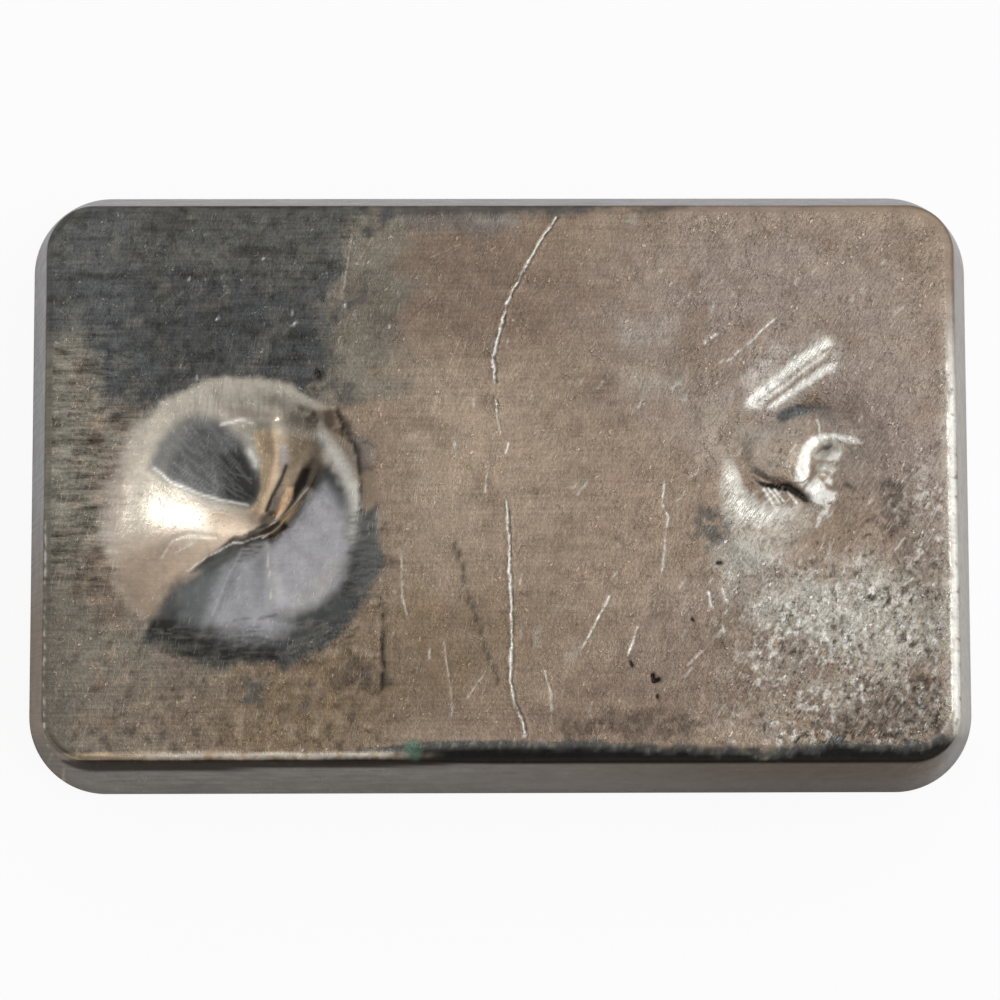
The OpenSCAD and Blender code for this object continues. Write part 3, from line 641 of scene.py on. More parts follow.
def draw_strokes(scatter, seed):
    """The strokes of a crowd, chosen by a seeded draw."""
    draw = np.random.default_rng(seed)
    strokes = []
    for _ in range(scatter.count):
        x = scatter.middle[0] + scatter.reach[0] * draw.uniform(-1.0, 1.0)
        y = scatter.middle[1] + scatter.reach[1] * draw.uniform(-1.0, 1.0)
        lean = math.radians(draw.normal(scatter.lean, scatter.spread))
        half = draw.uniform(*scatter.length) / 2.0
        strokes.append(Stroke(x, y, lean, half, draw.uniform(*STROKE_STRENGTH)))
    return strokes


def stroke_distance(x, y, stroke, margin):
    """The places near a stroke, and their distances from it."""
    reach = stroke.half + margin
    near = np.flatnonzero((np.abs(x - stroke.x) < reach) & (np.abs(y - stroke.y) < reach))
    dx, dy = x[near] - stroke.x, y[near] - stroke.y
    along = np.abs(dx * math.cos(stroke.lean) + dy * math.sin(stroke.lean))
    aside = dy * math.cos(stroke.lean) - dx * math.sin(stroke.lean)
    return near, np.hypot(np.maximum(along - stroke.half, 0.0), aside)


def stroke_mask(x, y, scatter, strokes):
    """How strongly a crowd of short strokes covers each place."""
    cover = np.zeros(x.shape)
    for stroke in strokes:
        near, gap = stroke_distance(x, y, stroke, STROKE_MARGIN)
        cover[near] = np.maximum(cover[near], stroke.strength * bell(gap, scatter.width))
    return cover


def near_strokes(x, y, crowds, margin):
    """Which places lie within a margin of any stroke."""
    found = np.zeros(x.shape, bool)
    for strokes in crowds:
        for stroke in strokes:
            near, gap = stroke_distance(x, y, stroke, margin)
            found[near] |= gap < margin
    return found


# Depths below the upper face, in millimetres.
# How the creased sink rises along its crease and across it.
ALONG_FULLNESS = 1.6
ALONG_POWER = 1.8
ACROSS_POWER = 1.7
# The crease's bow dies out between the second of these shares of the rim's radius and the first.
BOW_FADE = (1.0, 0.75)
# The least value under the root that gives the way out to the rim.
LEAST_SQUARE = 0.01
# A step fades at its ends, in shares of its length, and levels out this many half widths off its line.
STEP_START = (-0.15, 0.1)
STEP_END = (1.2, 0.9)
STEP_RUN = 4.0
# The knotted sink: its rim wanders, and its oval knot rises by a share of its depth.
RIM_WANDER = 0.7
RIM_NOISE_X = Noise(5.0, 31)
RIM_NOISE_Y = Noise(5.0, 32)
BOWL_POWER = 2
KNOT_RISE = 0.55
KNOT_SQUASH = 0.85
KNOT_POWER = 4
# The oval hole beside the knot, and its turn from X.
HOLE_COSINE = 0.9
HOLE_SINE = 0.43
HOLE_SQUASH = 0.55
HOLE_POWER = 3
# The crack wanders aside, is wider in places, deepens in beads and has a low ridge along it.
CRACK_WANDER = 0.16
CRACK_COURSE = Noise(1.1, 3, 3)
CRACK_NARROW = 0.09
CRACK_WIDENING = 0.07
CRACK_WIDTHS = Noise(2.2, 6, 2, 5.0)
CRACK_WIDTH_RISE = (-0.4, 0.4)
CRACK_DEPTH = 0.12
CRACK_FLARE = 1.2
CRACK_BEADING = 0.4
CRACK_BEADS = Noise(1.5, 5, 2, 5.0)
RIDGE_HEIGHT = 0.04
RIDGE_ASIDE = 0.3
RIDGE_WIDTH = 0.2
# The flaked skin: where it grows at the lower right, and along the right edge.
FLAKED_X = (22.0, 36.0)
FLAKED_Y = (-7.0, -14.0)
FLAKED_WANDER = 2.0
FLAKED_NOISE_X = Noise(6.0, 61)
FLAKED_NOISE_Y = Noise(6.0, 62)
FLAKED_EDGE_X = (45.0, 50.0)
FLAKED_EDGE_Y = (6.0, -4.0)
FLAKED_EDGE_SHARE = 0.7
# How rough the cast skin is in its zones, and which share of that the creased sink and the smooth spot keep.
SKIN = SimpleNamespace(ground=0.35, right=0.4, flakes=0.5, upper_left=0.25, sink_keeps=0.12, smooth_keeps=0.3)
SKIN_RIGHT_X = (12.0, 24.0)
SKIN_UPPER_LEFT_SOFT = 3.0
SKIN_RIM = (0.9, 1.0)
SMOOTH_SPOT = Ellipse((40.0, -6.0), 4.5, 0.6, 10.0, 2.0)
# The waves and lumps of the skin, its leaning ribs, and the room they need below the highest level.
WAVE_HEIGHT = 0.06
WAVES = Noise(16.0, 11)
LUMP_HEIGHT = 0.08
LUMPS = Noise(2.6, 13, 3)
SKIN_RIB_HEIGHT = 0.012
SKIN_RIBS = Noise(0.9, 14, 2, 4.0, 64.0)
HEADROOM = 0.16
PIT_POWER = 4
# The face rolls down before its right edge, from one place along X to another.
ROLL_SLOPE = 0.08
ROLL_START = 51.9
ROLL_END = 52.4
# The edge has lumps of its own, which die out down the wall; the foot of the wall is plain.
EDGE_LUMP_HEIGHT = 0.04
EDGE_LUMPS = Noise(2.6, 13)
EDGE_WANDER_REACH = 3.0
PLAIN_HEIGHT = 1.0


def sink_frame(x, y, sizes):
    """Places in the creased sink: share of the way out from its deepest place, and angle from the crease."""
    c, s = math.cos(sizes.crease_angle), math.sin(sizes.crease_angle)
    pole_x = sizes.crease_sink_x + sizes.crease_shift * c + sizes.crease_offset * s
    pole_y = sizes.crease_sink_y + sizes.crease_shift * s - sizes.crease_offset * c
    along = (x - pole_x) * c + (y - pole_y) * s
    across = (y - pole_y) * c - (x - pole_x) * s
    rim = np.hypot(along + sizes.crease_shift, across - sizes.crease_offset) / sizes.crease_sink_radius
    across = across - np.interp(along, *zip(*CREASE_BOW)) * ease(*BOW_FADE, rim)
    bearing = np.arctan2(across, along)
    side = -sizes.crease_shift * np.sin(bearing) - sizes.crease_offset * np.cos(bearing)
    reach = (-sizes.crease_shift * np.cos(bearing) + sizes.crease_offset * np.sin(bearing)
             + np.sqrt(np.maximum(sizes.crease_sink_radius ** 2 - side ** 2, LEAST_SQUARE)))
    return np.hypot(along, across) / reach, bearing


def folds_depth(x, y, folds):
    """Depth of folds with rounded flanks, summed."""
    return sum(fold.depth * bell(line_distance(x, y, fold.path), fold.width) for fold in folds)


def creased_sink_depth(x, y, sizes):
    """Two slopes that meet in a bowed crease, with the folds that run off it."""
    share, bearing = sink_frame(x, y, sizes)
    share = np.minimum(share, 1.0)
    across = np.abs(np.sin(bearing))
    along_part = (1.0 - share ** ALONG_FULLNESS) ** ALONG_POWER
    across_part = (1.0 - share) ** ACROSS_POWER
    depth = sizes.crease_sink_depth * ((1.0 - across) * along_part + across * across_part)
    return depth + folds_depth(x, y, PLEATS)


def step_depth(x, y, step):
    """A slope drawn together on one line, level again a little way off it."""
    (ax, ay), (bx, by) = step.path
    reach = math.hypot(bx - ax, by - ay)
    c, s = (bx - ax) / reach, (by - ay) / reach
    along = ((x - ax) * c + (y - ay) * s) / reach
    aside = (x - ax) * s - (y - ay) * c
    local = ease(*STEP_START, along) * ease(*STEP_END, along)
    half = step.width / 2.0
    run = STEP_RUN * half
    return step.drop * local * (ease(-half, half, aside) - ease(-run, run, aside))


def knotted_sink_depth(x, y, sizes):
    """A shallow bowl with a knot left standing, a hole beside it, steps and folds."""
    rim_x = x + RIM_WANDER * cloud(x, y, RIM_NOISE_X)
    rim_y = y + RIM_WANDER * cloud(x, y, RIM_NOISE_Y)
    from_middle = np.hypot(rim_x - sizes.knot_sink_x, rim_y - sizes.knot_sink_y)
    bowl = np.clip(1.0 - (from_middle / sizes.knot_sink_radius) ** 2, 0.0, 1.0) ** BOWL_POWER
    from_knot = np.hypot(x - sizes.knot_x, (y - sizes.knot_y) / KNOT_SQUASH)
    knot = KNOT_RISE * np.exp(-(from_knot / sizes.knot_radius) ** KNOT_POWER)
    hole_along = (x - sizes.hole_x) * HOLE_COSINE + (y - sizes.hole_y) * HOLE_SINE
    hole_aside = (y - sizes.hole_y) * HOLE_COSINE - (x - sizes.hole_x) * HOLE_SINE
    from_hole = np.hypot(hole_along, hole_aside / HOLE_SQUASH)
    hole = sizes.hole_depth * np.exp(-(from_hole / sizes.hole_radius) ** HOLE_POWER)
    depth = sizes.knot_sink_depth * bowl * (1.0 - knot) + hole
    return depth + sum(step_depth(x, y, step) for step in STEPS) + folds_depth(x, y, FOLDS)


def crack_gap(x, y, aside=0.0):
    """Distance from the wandering crack, or from a line a little aside of it."""
    return lines_distance(x + CRACK_WANDER * cloud(x, y, CRACK_COURSE) - aside, y, CRACK)


def crack_width(x, y):
    return CRACK_NARROW + CRACK_WIDENING * ease(*CRACK_WIDTH_RISE, cloud(x, y, CRACK_WIDTHS))


def crack_depth(x, y):
    gap = crack_gap(x, y)
    beads = 1.0 - CRACK_BEADING + CRACK_BEADING * cloud(x, y, CRACK_BEADS)
    ridge = RIDGE_HEIGHT * bell(gap - RIDGE_ASIDE, RIDGE_WIDTH)
    return CRACK_DEPTH * beads * bell(gap, CRACK_FLARE * crack_width(x, y)) - ridge


def flaky(x, y):
    """Where the skin is flaked and pitted: the lower right and along the right edge."""
    lower = ease(*FLAKED_X, x + FLAKED_WANDER * cloud(x, y, FLAKED_NOISE_X))
    lower *= ease(*FLAKED_Y, y + FLAKED_WANDER * cloud(x, y, FLAKED_NOISE_Y))
    return np.maximum(lower, FLAKED_EDGE_SHARE * ease(*FLAKED_EDGE_X, x) * ease(*FLAKED_EDGE_Y, y))


def roughness_of_skin(x, y, sizes):
    """How rough the cast skin is: most at the right end, almost nothing in the creased sink."""
    rough = SKIN.ground + SKIN.right * ease(*SKIN_RIGHT_X, x) + SKIN.flakes * flaky(x, y)
    rough += SKIN.upper_left * patch(x, y, UPPER_LEFT, SKIN_UPPER_LEFT_SOFT)
    share, _ = sink_frame(x, y, sizes)
    rough *= SKIN.sink_keeps + (1.0 - SKIN.sink_keeps) * ease(*SKIN_RIM, share)
    return rough * (1.0 - (1.0 - SKIN.smooth_keeps) * disc(x, y, SMOOTH_SPOT))


def edge_roll(x):
    """The upper face rolls down a little before its right edge."""
    return ROLL_SLOPE * np.maximum(x - ROLL_START, 0.0)


def face_depth(x, y, sizes, strokes):
    """Depth of the whole upper face below its highest level."""
    depth = creased_sink_depth(x, y, sizes) + knotted_sink_depth(x, y, sizes) + crack_depth(x, y)
    depth += folds_depth(x, y, SCRATCHES + GRIMED_LINES)
    for pit in PITS:
        depth += pit.depth * np.exp(-(line_distance(x, y, pit.path) / pit.width) ** PIT_POWER)
    for scatter, mask in zip(STROKES, strokes):
        depth += scatter.depth * mask
    depth += WAVE_HEIGHT * cloud(x, y, WAVES) + HEADROOM + edge_roll(x)
    lumps = LUMP_HEIGHT * cloud(x, y, LUMPS) + SKIN_RIB_HEIGHT * cloud(x, y, SKIN_RIBS)
    return depth + roughness_of_skin(x, y, sizes) * lumps


# The slab, modelled from a grid.
EDGE_STEPS = 7
WALL_SHARES = (0.08, 0.16, 0.24, 0.34)
BASE_STEPS = 4
# The face's edge is rounder at the right end, and roundest along the worn right part of the front.
ROUNDER_X = (44.0, 52.0)
WORN_X = (-16.0, 0.0)
WORN_Y = (-26.0, -30.0)
# Roundings are told apart to this many decimals of a millimetre.
RADIUS_DECIMALS = 2
# Cells are halved within these margins of the sinks and marks, and in strips bounded along X and Y.
HALF_CELLS = SimpleNamespace(
    crease_sink=0.8, knot_sink=1.0, crack=0.9, marks=0.6, strokes=0.3,
    flaked_x=21.0, flaked_y=-8.0, right_edge_x=51.4, right_edge_y=14.0, front_edge_y=-28.6)
# They are quartered within these, and in two discs, round the knots and round the crease.
QUARTER_CELLS = SimpleNamespace(crack=0.4, marks=0.25, discs=((35.2, 1.9, 5.7), (-27.0, -1.5, 5.5)))
FINE_MARKS = [groove.path for groove in SCRATCHES + PITS]
# The face's places lie within this much of its level before the relief is pressed in, in millimetres.
FACE_TOLERANCE = 0.001


def edge_section(sizes, radius):
    """Distance from a corner's axis and height, from the upper face over the edge and down to the base."""
    draft = sizes.wall_draft
    base_arc = sizes.corner_radius - sizes.base_edge_radius
    face_arc_z = SLAB_HEIGHT - radius
    wall = base_arc + sizes.base_edge_radius / math.cos(draft)
    wall -= (face_arc_z - sizes.base_edge_radius) * math.tan(draft)
    face_arc = wall - radius / math.cos(draft)
    section = []
    for step in range(EDGE_STEPS + 1):
        lean = math.pi / 2 + (draft - math.pi / 2) * step / EDGE_STEPS
        section.append((face_arc + radius * math.cos(lean), face_arc_z + radius * math.sin(lean)))
    base_part = []
    for step in range(BASE_STEPS + 1):
        lean = draft - (draft + math.pi / 2) * step / BASE_STEPS
        base_part.append((base_arc + sizes.base_edge_radius * math.cos(lean),
                          sizes.base_edge_radius + sizes.base_edge_radius * math.sin(lean)))
    top, low = section[-1], base_part[0]
    for share in WALL_SHARES:
        section.append((top[0] + (low[0] - top[0]) * share, top[1] + (low[1] - top[1]) * share))
    return section + base_part


def edge_radius(x, y, sizes):
    """The rounding of the face's edge near a place: tight, wider at the right, widest where it is worn."""
    radius = sizes.face_edge_radius
    radius += (sizes.right_edge_radius - radius) * float(ease(*ROUNDER_X, x))
    worn = float(ease(*WORN_Y, y) * ease(*WORN_X, x))
    return round(radius + (sizes.worn_edge_radius - radius) * worn, RADIUS_DECIMALS)


def edit_mesh(piece):
    return bmesh.from_edit_mesh(piece.data)


def refine(piece, wanted):
    """Halves the faces where wanted, given places in millimetres, is true."""
    mesh = edit_mesh(piece)
    faces = list(mesh.faces)
    middles = np.array([face.calc_center_median()[:2] for face in faces]) / MM
    chosen = wanted(middles[:, 0], middles[:, 1])
    bpy.ops.mesh.select_all(action="DESELECT")
    for face, take in zip(faces, chosen):
        if take:
            face.select_set(True)
    bmesh.update_edit_mesh(piece.data)
    bpy.ops.mesh.subdivide(number_cuts=1, smoothness=0.0)


def needs_half_cells(x, y, sizes, crowds):
    """Where cells are halved: the sinks, the flaked skin, the worn edges, the crack and the marks."""
    from_crease_sink = np.hypot(x - sizes.crease_sink_x, y - sizes.crease_sink_y)
    from_knot_sink = np.hypot(x - sizes.knot_sink_x, y - sizes.knot_sink_y)
    wanted = from_crease_sink < sizes.crease_sink_radius + HALF_CELLS.crease_sink
    wanted |= from_knot_sink < sizes.knot_sink_radius + HALF_CELLS.knot_sink
    wanted |= (x > HALF_CELLS.flaked_x) & (y < HALF_CELLS.flaked_y)
    wanted |= (x > HALF_CELLS.right_edge_x) & (y < HALF_CELLS.right_edge_y)
    wanted |= y < HALF_CELLS.front_edge_y
    wanted |= lines_distance(x, y, CRACK) < HALF_CELLS.crack
    wanted |= lines_distance(x, y, FINE_MARKS) < HALF_CELLS.marks
    return wanted | near_strokes(x, y, crowds, HALF_CELLS.strokes)


def needs_quarter_cells(x, y):
    """Where they are halved again: close to the crack and the marks, and in the middles of the sinks."""
    wanted = lines_distance(x, y, CRACK) < QUARTER_CELLS.crack
    wanted |= lines_distance(x, y, FINE_MARKS) < QUARTER_CELLS.marks
    for middle_x, middle_y, reach in QUARTER_CELLS.discs:
        wanted |= np.hypot(x - middle_x, y - middle_y) < reach
    return wanted


def round_face_corners(piece, half_x, half_y, radius):
    """Draws the grid's square corners in to quarter circles."""
    for vert in edit_mesh(piece).verts:
        x, y = vert.co.x / MM, vert.co.y / MM
        u = (abs(x) - (half_x - radius)) / radius
        v = (abs(y) - (half_y - radius)) / radius
        if u > 0.0 and v > 0.0:
            vert.co.x = math.copysign(half_x - radius + radius * u * math.sqrt(1.0 - v * v / 2.0), x) * MM
            vert.co.y = math.copysign(half_y - radius + radius * v * math.sqrt(1.0 - u * u / 2.0), y) * MM
    bmesh.update_edit_mesh(piece.data)


def post_of(place, post_x, post_y):
    """The nearest point of the rectangle through the corners' axes, and the way out from it."""
    axis = Vector((max(-post_x, min(post_x, place.x)), max(-post_y, min(post_y, place.y))))
    return axis, place - axis


def draw_down_edge(piece, sizes, post_x, post_y):
    """Fits the face's border to its rounding, extrudes it in rings down to the base, and closes the base."""
    sections = {}

    def section_at(place):
        radius = edge_radius(place.x, place.y, sizes)
        if radius not in sections:
            sections[radius] = edge_section(sizes, radius)
        return sections[radius]

    full = edge_section(sizes, sizes.face_edge_radius)[0][0]
    mesh = edit_mesh(piece)
    for vert in mesh.verts:
        place = Vector(vert.co[:2]) / MM
        axis, out = post_of(place, post_x, post_y)
        if out.length > 0.0:
            place = axis + out * (section_at(place)[0][0] / full)
            vert.co.x, vert.co.y = place * MM
    bpy.ops.mesh.select_all(action="DESELECT")
    for edge in mesh.edges:
        if edge.is_boundary:
            edge.select_set(True)
    bmesh.update_edit_mesh(piece.data)
    for ring in range(1, EDGE_STEPS + len(WALL_SHARES) + BASE_STEPS + 2):
        bpy.ops.mesh.extrude_region_move()
        for vert in edit_mesh(piece).verts:
            if vert.select:
                place = Vector(vert.co[:2]) / MM
                axis, out = post_of(place, post_x, post_y)
                reach, height = section_at(place)[ring]
                place = axis + out.normalized() * reach
                vert.co = Vector((place.x, place.y, height)) * MM
        bmesh.update_edit_mesh(piece.data)
    bpy.ops.mesh.edge_face_add()
    bpy.ops.mesh.select_all(action="SELECT")
    bpy.ops.mesh.normals_make_consistent(inside=False)


def model_slab(sizes, crowds):
    """The plain slab, with its mesh finest where the marks are."""
    reach = edge_section(sizes, sizes.face_edge_radius)[0][0]
    post_x, post_y = BASE_LENGTH / 2 - sizes.corner_radius, BASE_WIDTH / 2 - sizes.corner_radius
    half_x, half_y = post_x + reach, post_y + reach
    bpy.ops.object.select_all(action="DESELECT")
    columns, rows = round(2 * half_x / sizes.cell), round(2 * half_y / sizes.cell)
    bpy.ops.mesh.primitive_grid_add(x_subdivisions=columns, y_subdivisions=rows, size=2.0)
    piece = bpy.context.object
    piece.name = piece.data.name = "cast_slab"
    bpy.ops.object.mode_set(mode="EDIT")
    bpy.ops.transform.resize(value=(half_x * MM, half_y * MM, 1.0))
    bpy.ops.transform.translate(value=(0.0, 0.0, SLAB_HEIGHT * MM))
    refine(piece, lambda x, y: needs_half_cells(x, y, sizes, crowds))
    refine(piece, needs_quarter_cells)
    round_face_corners(piece, half_x, half_y, reach)
    draw_down_edge(piece, sizes, post_x, post_y)
    bpy.ops.object.mode_set(mode="OBJECT")
    return piece


def places_of(piece):
    """The mesh's places in millimetres, one row a vertex."""
    places = np.empty(len(piece.data.vertices) * 3)
    piece.data.vertices.foreach_get("co", places)
    return places.reshape(-1, 3) / MM


def press_relief(piece, sizes, places, on_face, strokes):
    """Sinks the upper face to its depths, and lets its edge wander with it."""
    x, y, z = places.T
    depth = np.zeros(len(x))
    depth[on_face] = face_depth(x[on_face], y[on_face], sizes, [mask[on_face] for mask in strokes])
    edge = ~on_face & (z > PLAIN_HEIGHT)
    edge_x, edge_y = x[edge], y[edge]
    near_face = ease(SLAB_HEIGHT - EDGE_WANDER_REACH, SLAB_HEIGHT, z[edge])
    wander = WAVE_HEIGHT * cloud(edge_x, edge_y, WAVES) + EDGE_LUMP_HEIGHT * cloud(edge_x, edge_y, EDGE_LUMPS)
    depth[edge] = (wander + HEADROOM + edge_roll(np.minimum(edge_x, ROLL_END))) * near_face
    moved = places.copy()
    moved[:, 2] -= depth
    piece.data.vertices.foreach_set("co", (moved * MM).ravel())
    piece.data.update()


# Tarnish, with painted highlights, shade and reflections among it: a colour and a finish for every vertex.
GROUND_COLOUR = "clay"
# The borders of colours wander by a broad noise and a fine one; films are worn through by a third.
RAGGED_X = Noise(4.0, 21)
RAGGED_Y = Noise(4.0, 22)
FINE_RAGGED_X = Noise(0.9, 24, 2)
FINE_RAGGED_Y = Noise(0.9, 25, 2)
FINE_RAGGED_SHARE = 0.4
WEAR = Noise(1.1, 23, 3)
WEAR_RISE = (-0.1, 0.45)
# How far the borders of spots and lines wander, in millimetres, and how much of a line is worn through.
SPOT_WANDER = 1.6
SINK_LINE_WANDER = 0.12
GRIME_WANDER = 0.25
GRIME_WEAR = 0.7
SCRATCH_WANDER = 0.1
SCRATCH_WEAR = 0.8
# Clouds of colour on the whole face, right of its left part, on that part and on the flaked skin.
LEFT_PART_X = (-6.0, -18.0)
GROUND_MOTTLE = Mottle("brown", 0.55, Noise(5.0, 41), (0.05, 0.8))
STREAKED_MOTTLE = Mottle("tan", 0.3, Noise(3.0, 42, 2, 4.0), (0.15, 0.9))
LEFT_MOTTLES = (
    Mottle("umber", 0.65, Noise(1.3, 43), (0.15, 0.6)),
    Mottle("tan", 0.5, Noise(1.5, 45), (0.1, 0.7)),
)
FROST_MOTTLE = Mottle("frost", 0.3, Noise(5.0, 48), (-0.4, 0.5))
# Flakes and the grime between them, each with the noise that gathers it in clumps.
FLAKE_MOTTLES = (
    (Mottle("silver", 0.8, Noise(0.8, 46, 3), (0.05, 0.4)), Noise(4.0, 58)),
    (Mottle("umber", 0.95, Noise(0.9, 47, 3), (0.15, 0.45)), Noise(4.0, 59)),
)
FLAKE_CLUMPS = (-0.5, 0.5)
# The dark upper left and the grey left edge, which the dark zone mostly covers.
UPPER_LEFT_SOFT = 2.0
UPPER_LEFT_FADES = (
    Fade("ash", 0.2, None, (22.0, 27.0, 2.0)),
    Fade("slate", 0.5, (-42.0, -46.0, 2.0), None),
)
UPPER_LEFT_MOTTLES = (
    Mottle("black", 0.45, Noise(1.4, 49, 2, 5.0), (0.1, 0.8)),
    Mottle("slate", 0.4, Noise(1.8, 50, 2, 3.0), (0.1, 0.8)),
    Mottle("ash", 0.35, Noise(3.2, 56), (0.1, 0.7)),
    Mottle("black", 0.4, Noise(1.2, 57, 3), (0.1, 0.6)),
)
LEFT_EDGE_ASH = Fade("ash", 0.6, (-49.5, -52.0, 1.0), None)
LEFT_EDGE_COVERED = 0.8
LEFT_EDGE_GRIME = Fade("umber", 0.3, (-48.0, -52.0, 1.0), (-2.0, -12.0, 0.0))
# The bright lining ends at the creased sink's rim, in shares of the way out, and more softly at its left.
LINING_RIM = (0.95, 1.02)
LINING_WANDER = 0.025
LINING_SOFTER = 0.05
LINING_SOFTER_X = (-40.0, -45.0)
LINING_SHADE = Spot("clay", (-41.6, -12.4), 7.0, 0.8, 40.0, 3.5, 0.95)
# The crack glints in beads, and is darker now on one side of it, now on the other.
CRACK_GLINTS = Noise(1.0, 5, 3, 5.0)
CRACK_GLINT_RISE = (-0.6, 0.0)
CRACK_DULLEST = 0.25
CRACK_SIDES = Noise(1.8, 8, 2, 5.0)
CRACK_SIDE_RISE = (-0.3, 0.2)
CRACK_DARK_SHARE = 0.95
CRACK_DARK_ASIDE = 0.2
CRACK_DARK_WIDTH = 0.13
# The walls begin between these depths below the face.
WALL_TOP = (0.9, 1.5)
# Tan at the left front, and a painted highlight in silver at the right end.
WALL_FADES = (
    Fade("tan", 0.9, (-50.0, -54.0, 0.0), (4.0, -20.0, 0.0)),
    Fade("silver", 0.4, (50.0, 53.0, 0.0), None),
)
# Painted shade: the front wall is darker, and darker still towards the right.
FRONT_WALL_Y = (-29.0, -31.0)
FRONT_WALL_SHADE = 0.72
FRONT_WALL_SHADE_X = (5.0, 45.0)
FRONT_WALL_SHADE_FADES = (
    Fade("brown", 0.25, (-20.0, 20.0, 0.0), None),
    Fade("umber", 0.3, (5.0, 45.0, 0.0), None),
)
# The band along the front edge, grime and painted dark reflection with painted highlights along its top: its
# scalloped border, its foot, and its layers by the way down.
SCALLOP_HEIGHT = 0.55
SCALLOPS = Noise(2.0, 51)
SCALLOP_X = (-14.0, 20.0)
BAND_SOFT = 0.35
BAND_FOOT = (3.0, 2.4)
BAND_DARK = 0.9
BAND_HIGHLIGHTS = Mottle("ash", 0.75, Noise(0.9, 55, 3), (0.1, 0.45))
BAND_HIGHLIGHTS_DOWN = (1.9, 1.0)
BAND_BLACK = 0.93
BAND_BLACK_DOWN = (0.7, 1.5)
# Painted shadow: the dark line under the lip at the left of the front, and how far down it reaches.
LIP_SHADOW = 0.95
LIP_X = (-4.0, -16.0)
LIP_Y = (-32.6, -32.8)
LIP_FOOT = 3.4
LIP_FOOT_SOFT = 0.6
LIP_FOOT_DROP = 1.8
LIP_FOOT_DROP_X = (-16.0, -44.0)
# Painted highlight: the bright beads along the lip.
BEAD_Y = -32.25
BEAD_WANDER = 0.15
BEAD_WIDTH = 0.3
BEAD_START_X = (-53.0, -48.0)
BEAD_END_X = (-6.0, -18.0)
BEAD_HONEY = 0.85
BEAD_SILVER = Mottle("silver", 0.7, Noise(1.3, 52, 3), (-0.4, 0.1))
BEAD_SILVER_X = (-46.0, -38.0)
# Painted highlights: the glints on the left edge.
LEFT_GLINT_X = -53.7
LEFT_GLINT_WANDER = 0.1
LEFT_GLINT_WIDTH = 0.2
LEFT_GLINT_Y = (0.0, -8.0)
LEFT_GLINTS = Mottle("silver", 0.6, Noise(0.7, 53, 2), (-0.1, 0.4))
# The right edge: painted highlights, bright strips between an inner and an outer border along X, broken by a
# noise.
RIGHT_BACK_Y = (26.0, 6.0)
RIGHT_FRONT_Y = (-31.5, -28.0)
RIGHT_GLINTS = Noise(0.8, 54, 2)
RIGHT_GLINT_RISE = (-0.9, -0.2)
RIGHT_HIGHLIGHT_STRIPS = (
    Strip("pewter", 0.8, (51.7, 52.4), 0.4, (53.5, 53.1)),
    Strip("silver", 1.0, (52.7, 53.2), 0.25, (55.8, 55.2)),
)
GREEN_SPECK = Spot("verdigris", (-10.4, -31.6), 1.0, 1.2, 0.0, 0.5, 0.8)
GREEN_SPECK_WEAR = (-0.6, 0.3)


class Coat:
    """The colour that builds up on the slab, layer on layer."""

    def __init__(self, x, y, palette):
        self.x, self.y = x, y
        self.palette = palette
        self.colour = np.tile(palette[GROUND_COLOUR], (len(x), 1))
        self.ragged_x = cloud(x, y, RAGGED_X) + FINE_RAGGED_SHARE * cloud(x, y, FINE_RAGGED_X)
        self.ragged_y = cloud(x, y, RAGGED_Y) + FINE_RAGGED_SHARE * cloud(x, y, FINE_RAGGED_Y)
        self.wear = cloud(x, y, WEAR)

    def wandered(self, wander):
        """The places, moved aside so that what is drawn on them has a wandering border."""
        return self.x + wander * self.ragged_x, self.y + wander * self.ragged_y

    def kept(self, broken):
        """The share of a film that is left where parts of it are worn through."""
        return 1.0 - broken * ease(*WEAR_RISE, self.wear)

    def lay(self, colour, share):
        self.colour += (self.palette[colour] - self.colour) * np.clip(share, 0.0, 1.0)[:, None]

    def spot(self, spot):
        self.lay(spot.colour, spot.share * disc(*self.wandered(SPOT_WANDER), spot))

    def area(self, area):
        mask = patch(*self.wandered(area.ragged), area.outline, area.soft)
        self.lay(area.colour, area.share * mask * self.kept(area.broken))

    def line(self, line, wander=0.0, broken=0.0):
        gap = line_distance(*self.wandered(wander), line.path)
        self.lay(line.colour, line.share * self.kept(broken) * bell(gap, line.width))

    def mottle(self, mottle, where=1.0):
        risen = ease(*mottle.rise, cloud(self.x, self.y, mottle.noise))
        self.lay(mottle.colour, mottle.share * where * risen)

    def fade(self, fade, where=1.0):
        share = fade.share * where
        for way, place, ragged in ((fade.way_x, self.x, self.ragged_x), (fade.way_y, self.y, self.ragged_y)):
            if way:
                start, full, wander = way
                share = share * ease(start, full, place + wander * ragged)
        self.lay(fade.colour, share)


def upper_left_of(coat):
    """The mask of the dark zone at the upper left."""
    return patch(*coat.wandered(1.0), UPPER_LEFT, UPPER_LEFT_SOFT)


def lining_of(coat, sizes):
    """The mask of the creased sink's bright lining."""
    share, _ = sink_frame(coat.x, coat.y, sizes)
    inner, outer = LINING_RIM
    inner = inner - LINING_SOFTER * ease(*LINING_SOFTER_X, coat.x)
    return 1.0 - ease(inner, outer, share + LINING_WANDER * coat.ragged_x)


def paint_mottles(coat):
    """Clouds of colour over the zones."""
    left = ease(*LEFT_PART_X, coat.x)
    coat.mottle(GROUND_MOTTLE)
    coat.mottle(STREAKED_MOTTLE, 1.0 - left)
    for mottle in LEFT_MOTTLES:
        coat.mottle(mottle, left)
    flakes = flaky(coat.x, coat.y)
    coat.mottle(FROST_MOTTLE, flakes)
    for mottle, clumps in FLAKE_MOTTLES:
        coat.mottle(mottle, flakes * ease(*FLAKE_CLUMPS, cloud(coat.x, coat.y, clumps)))


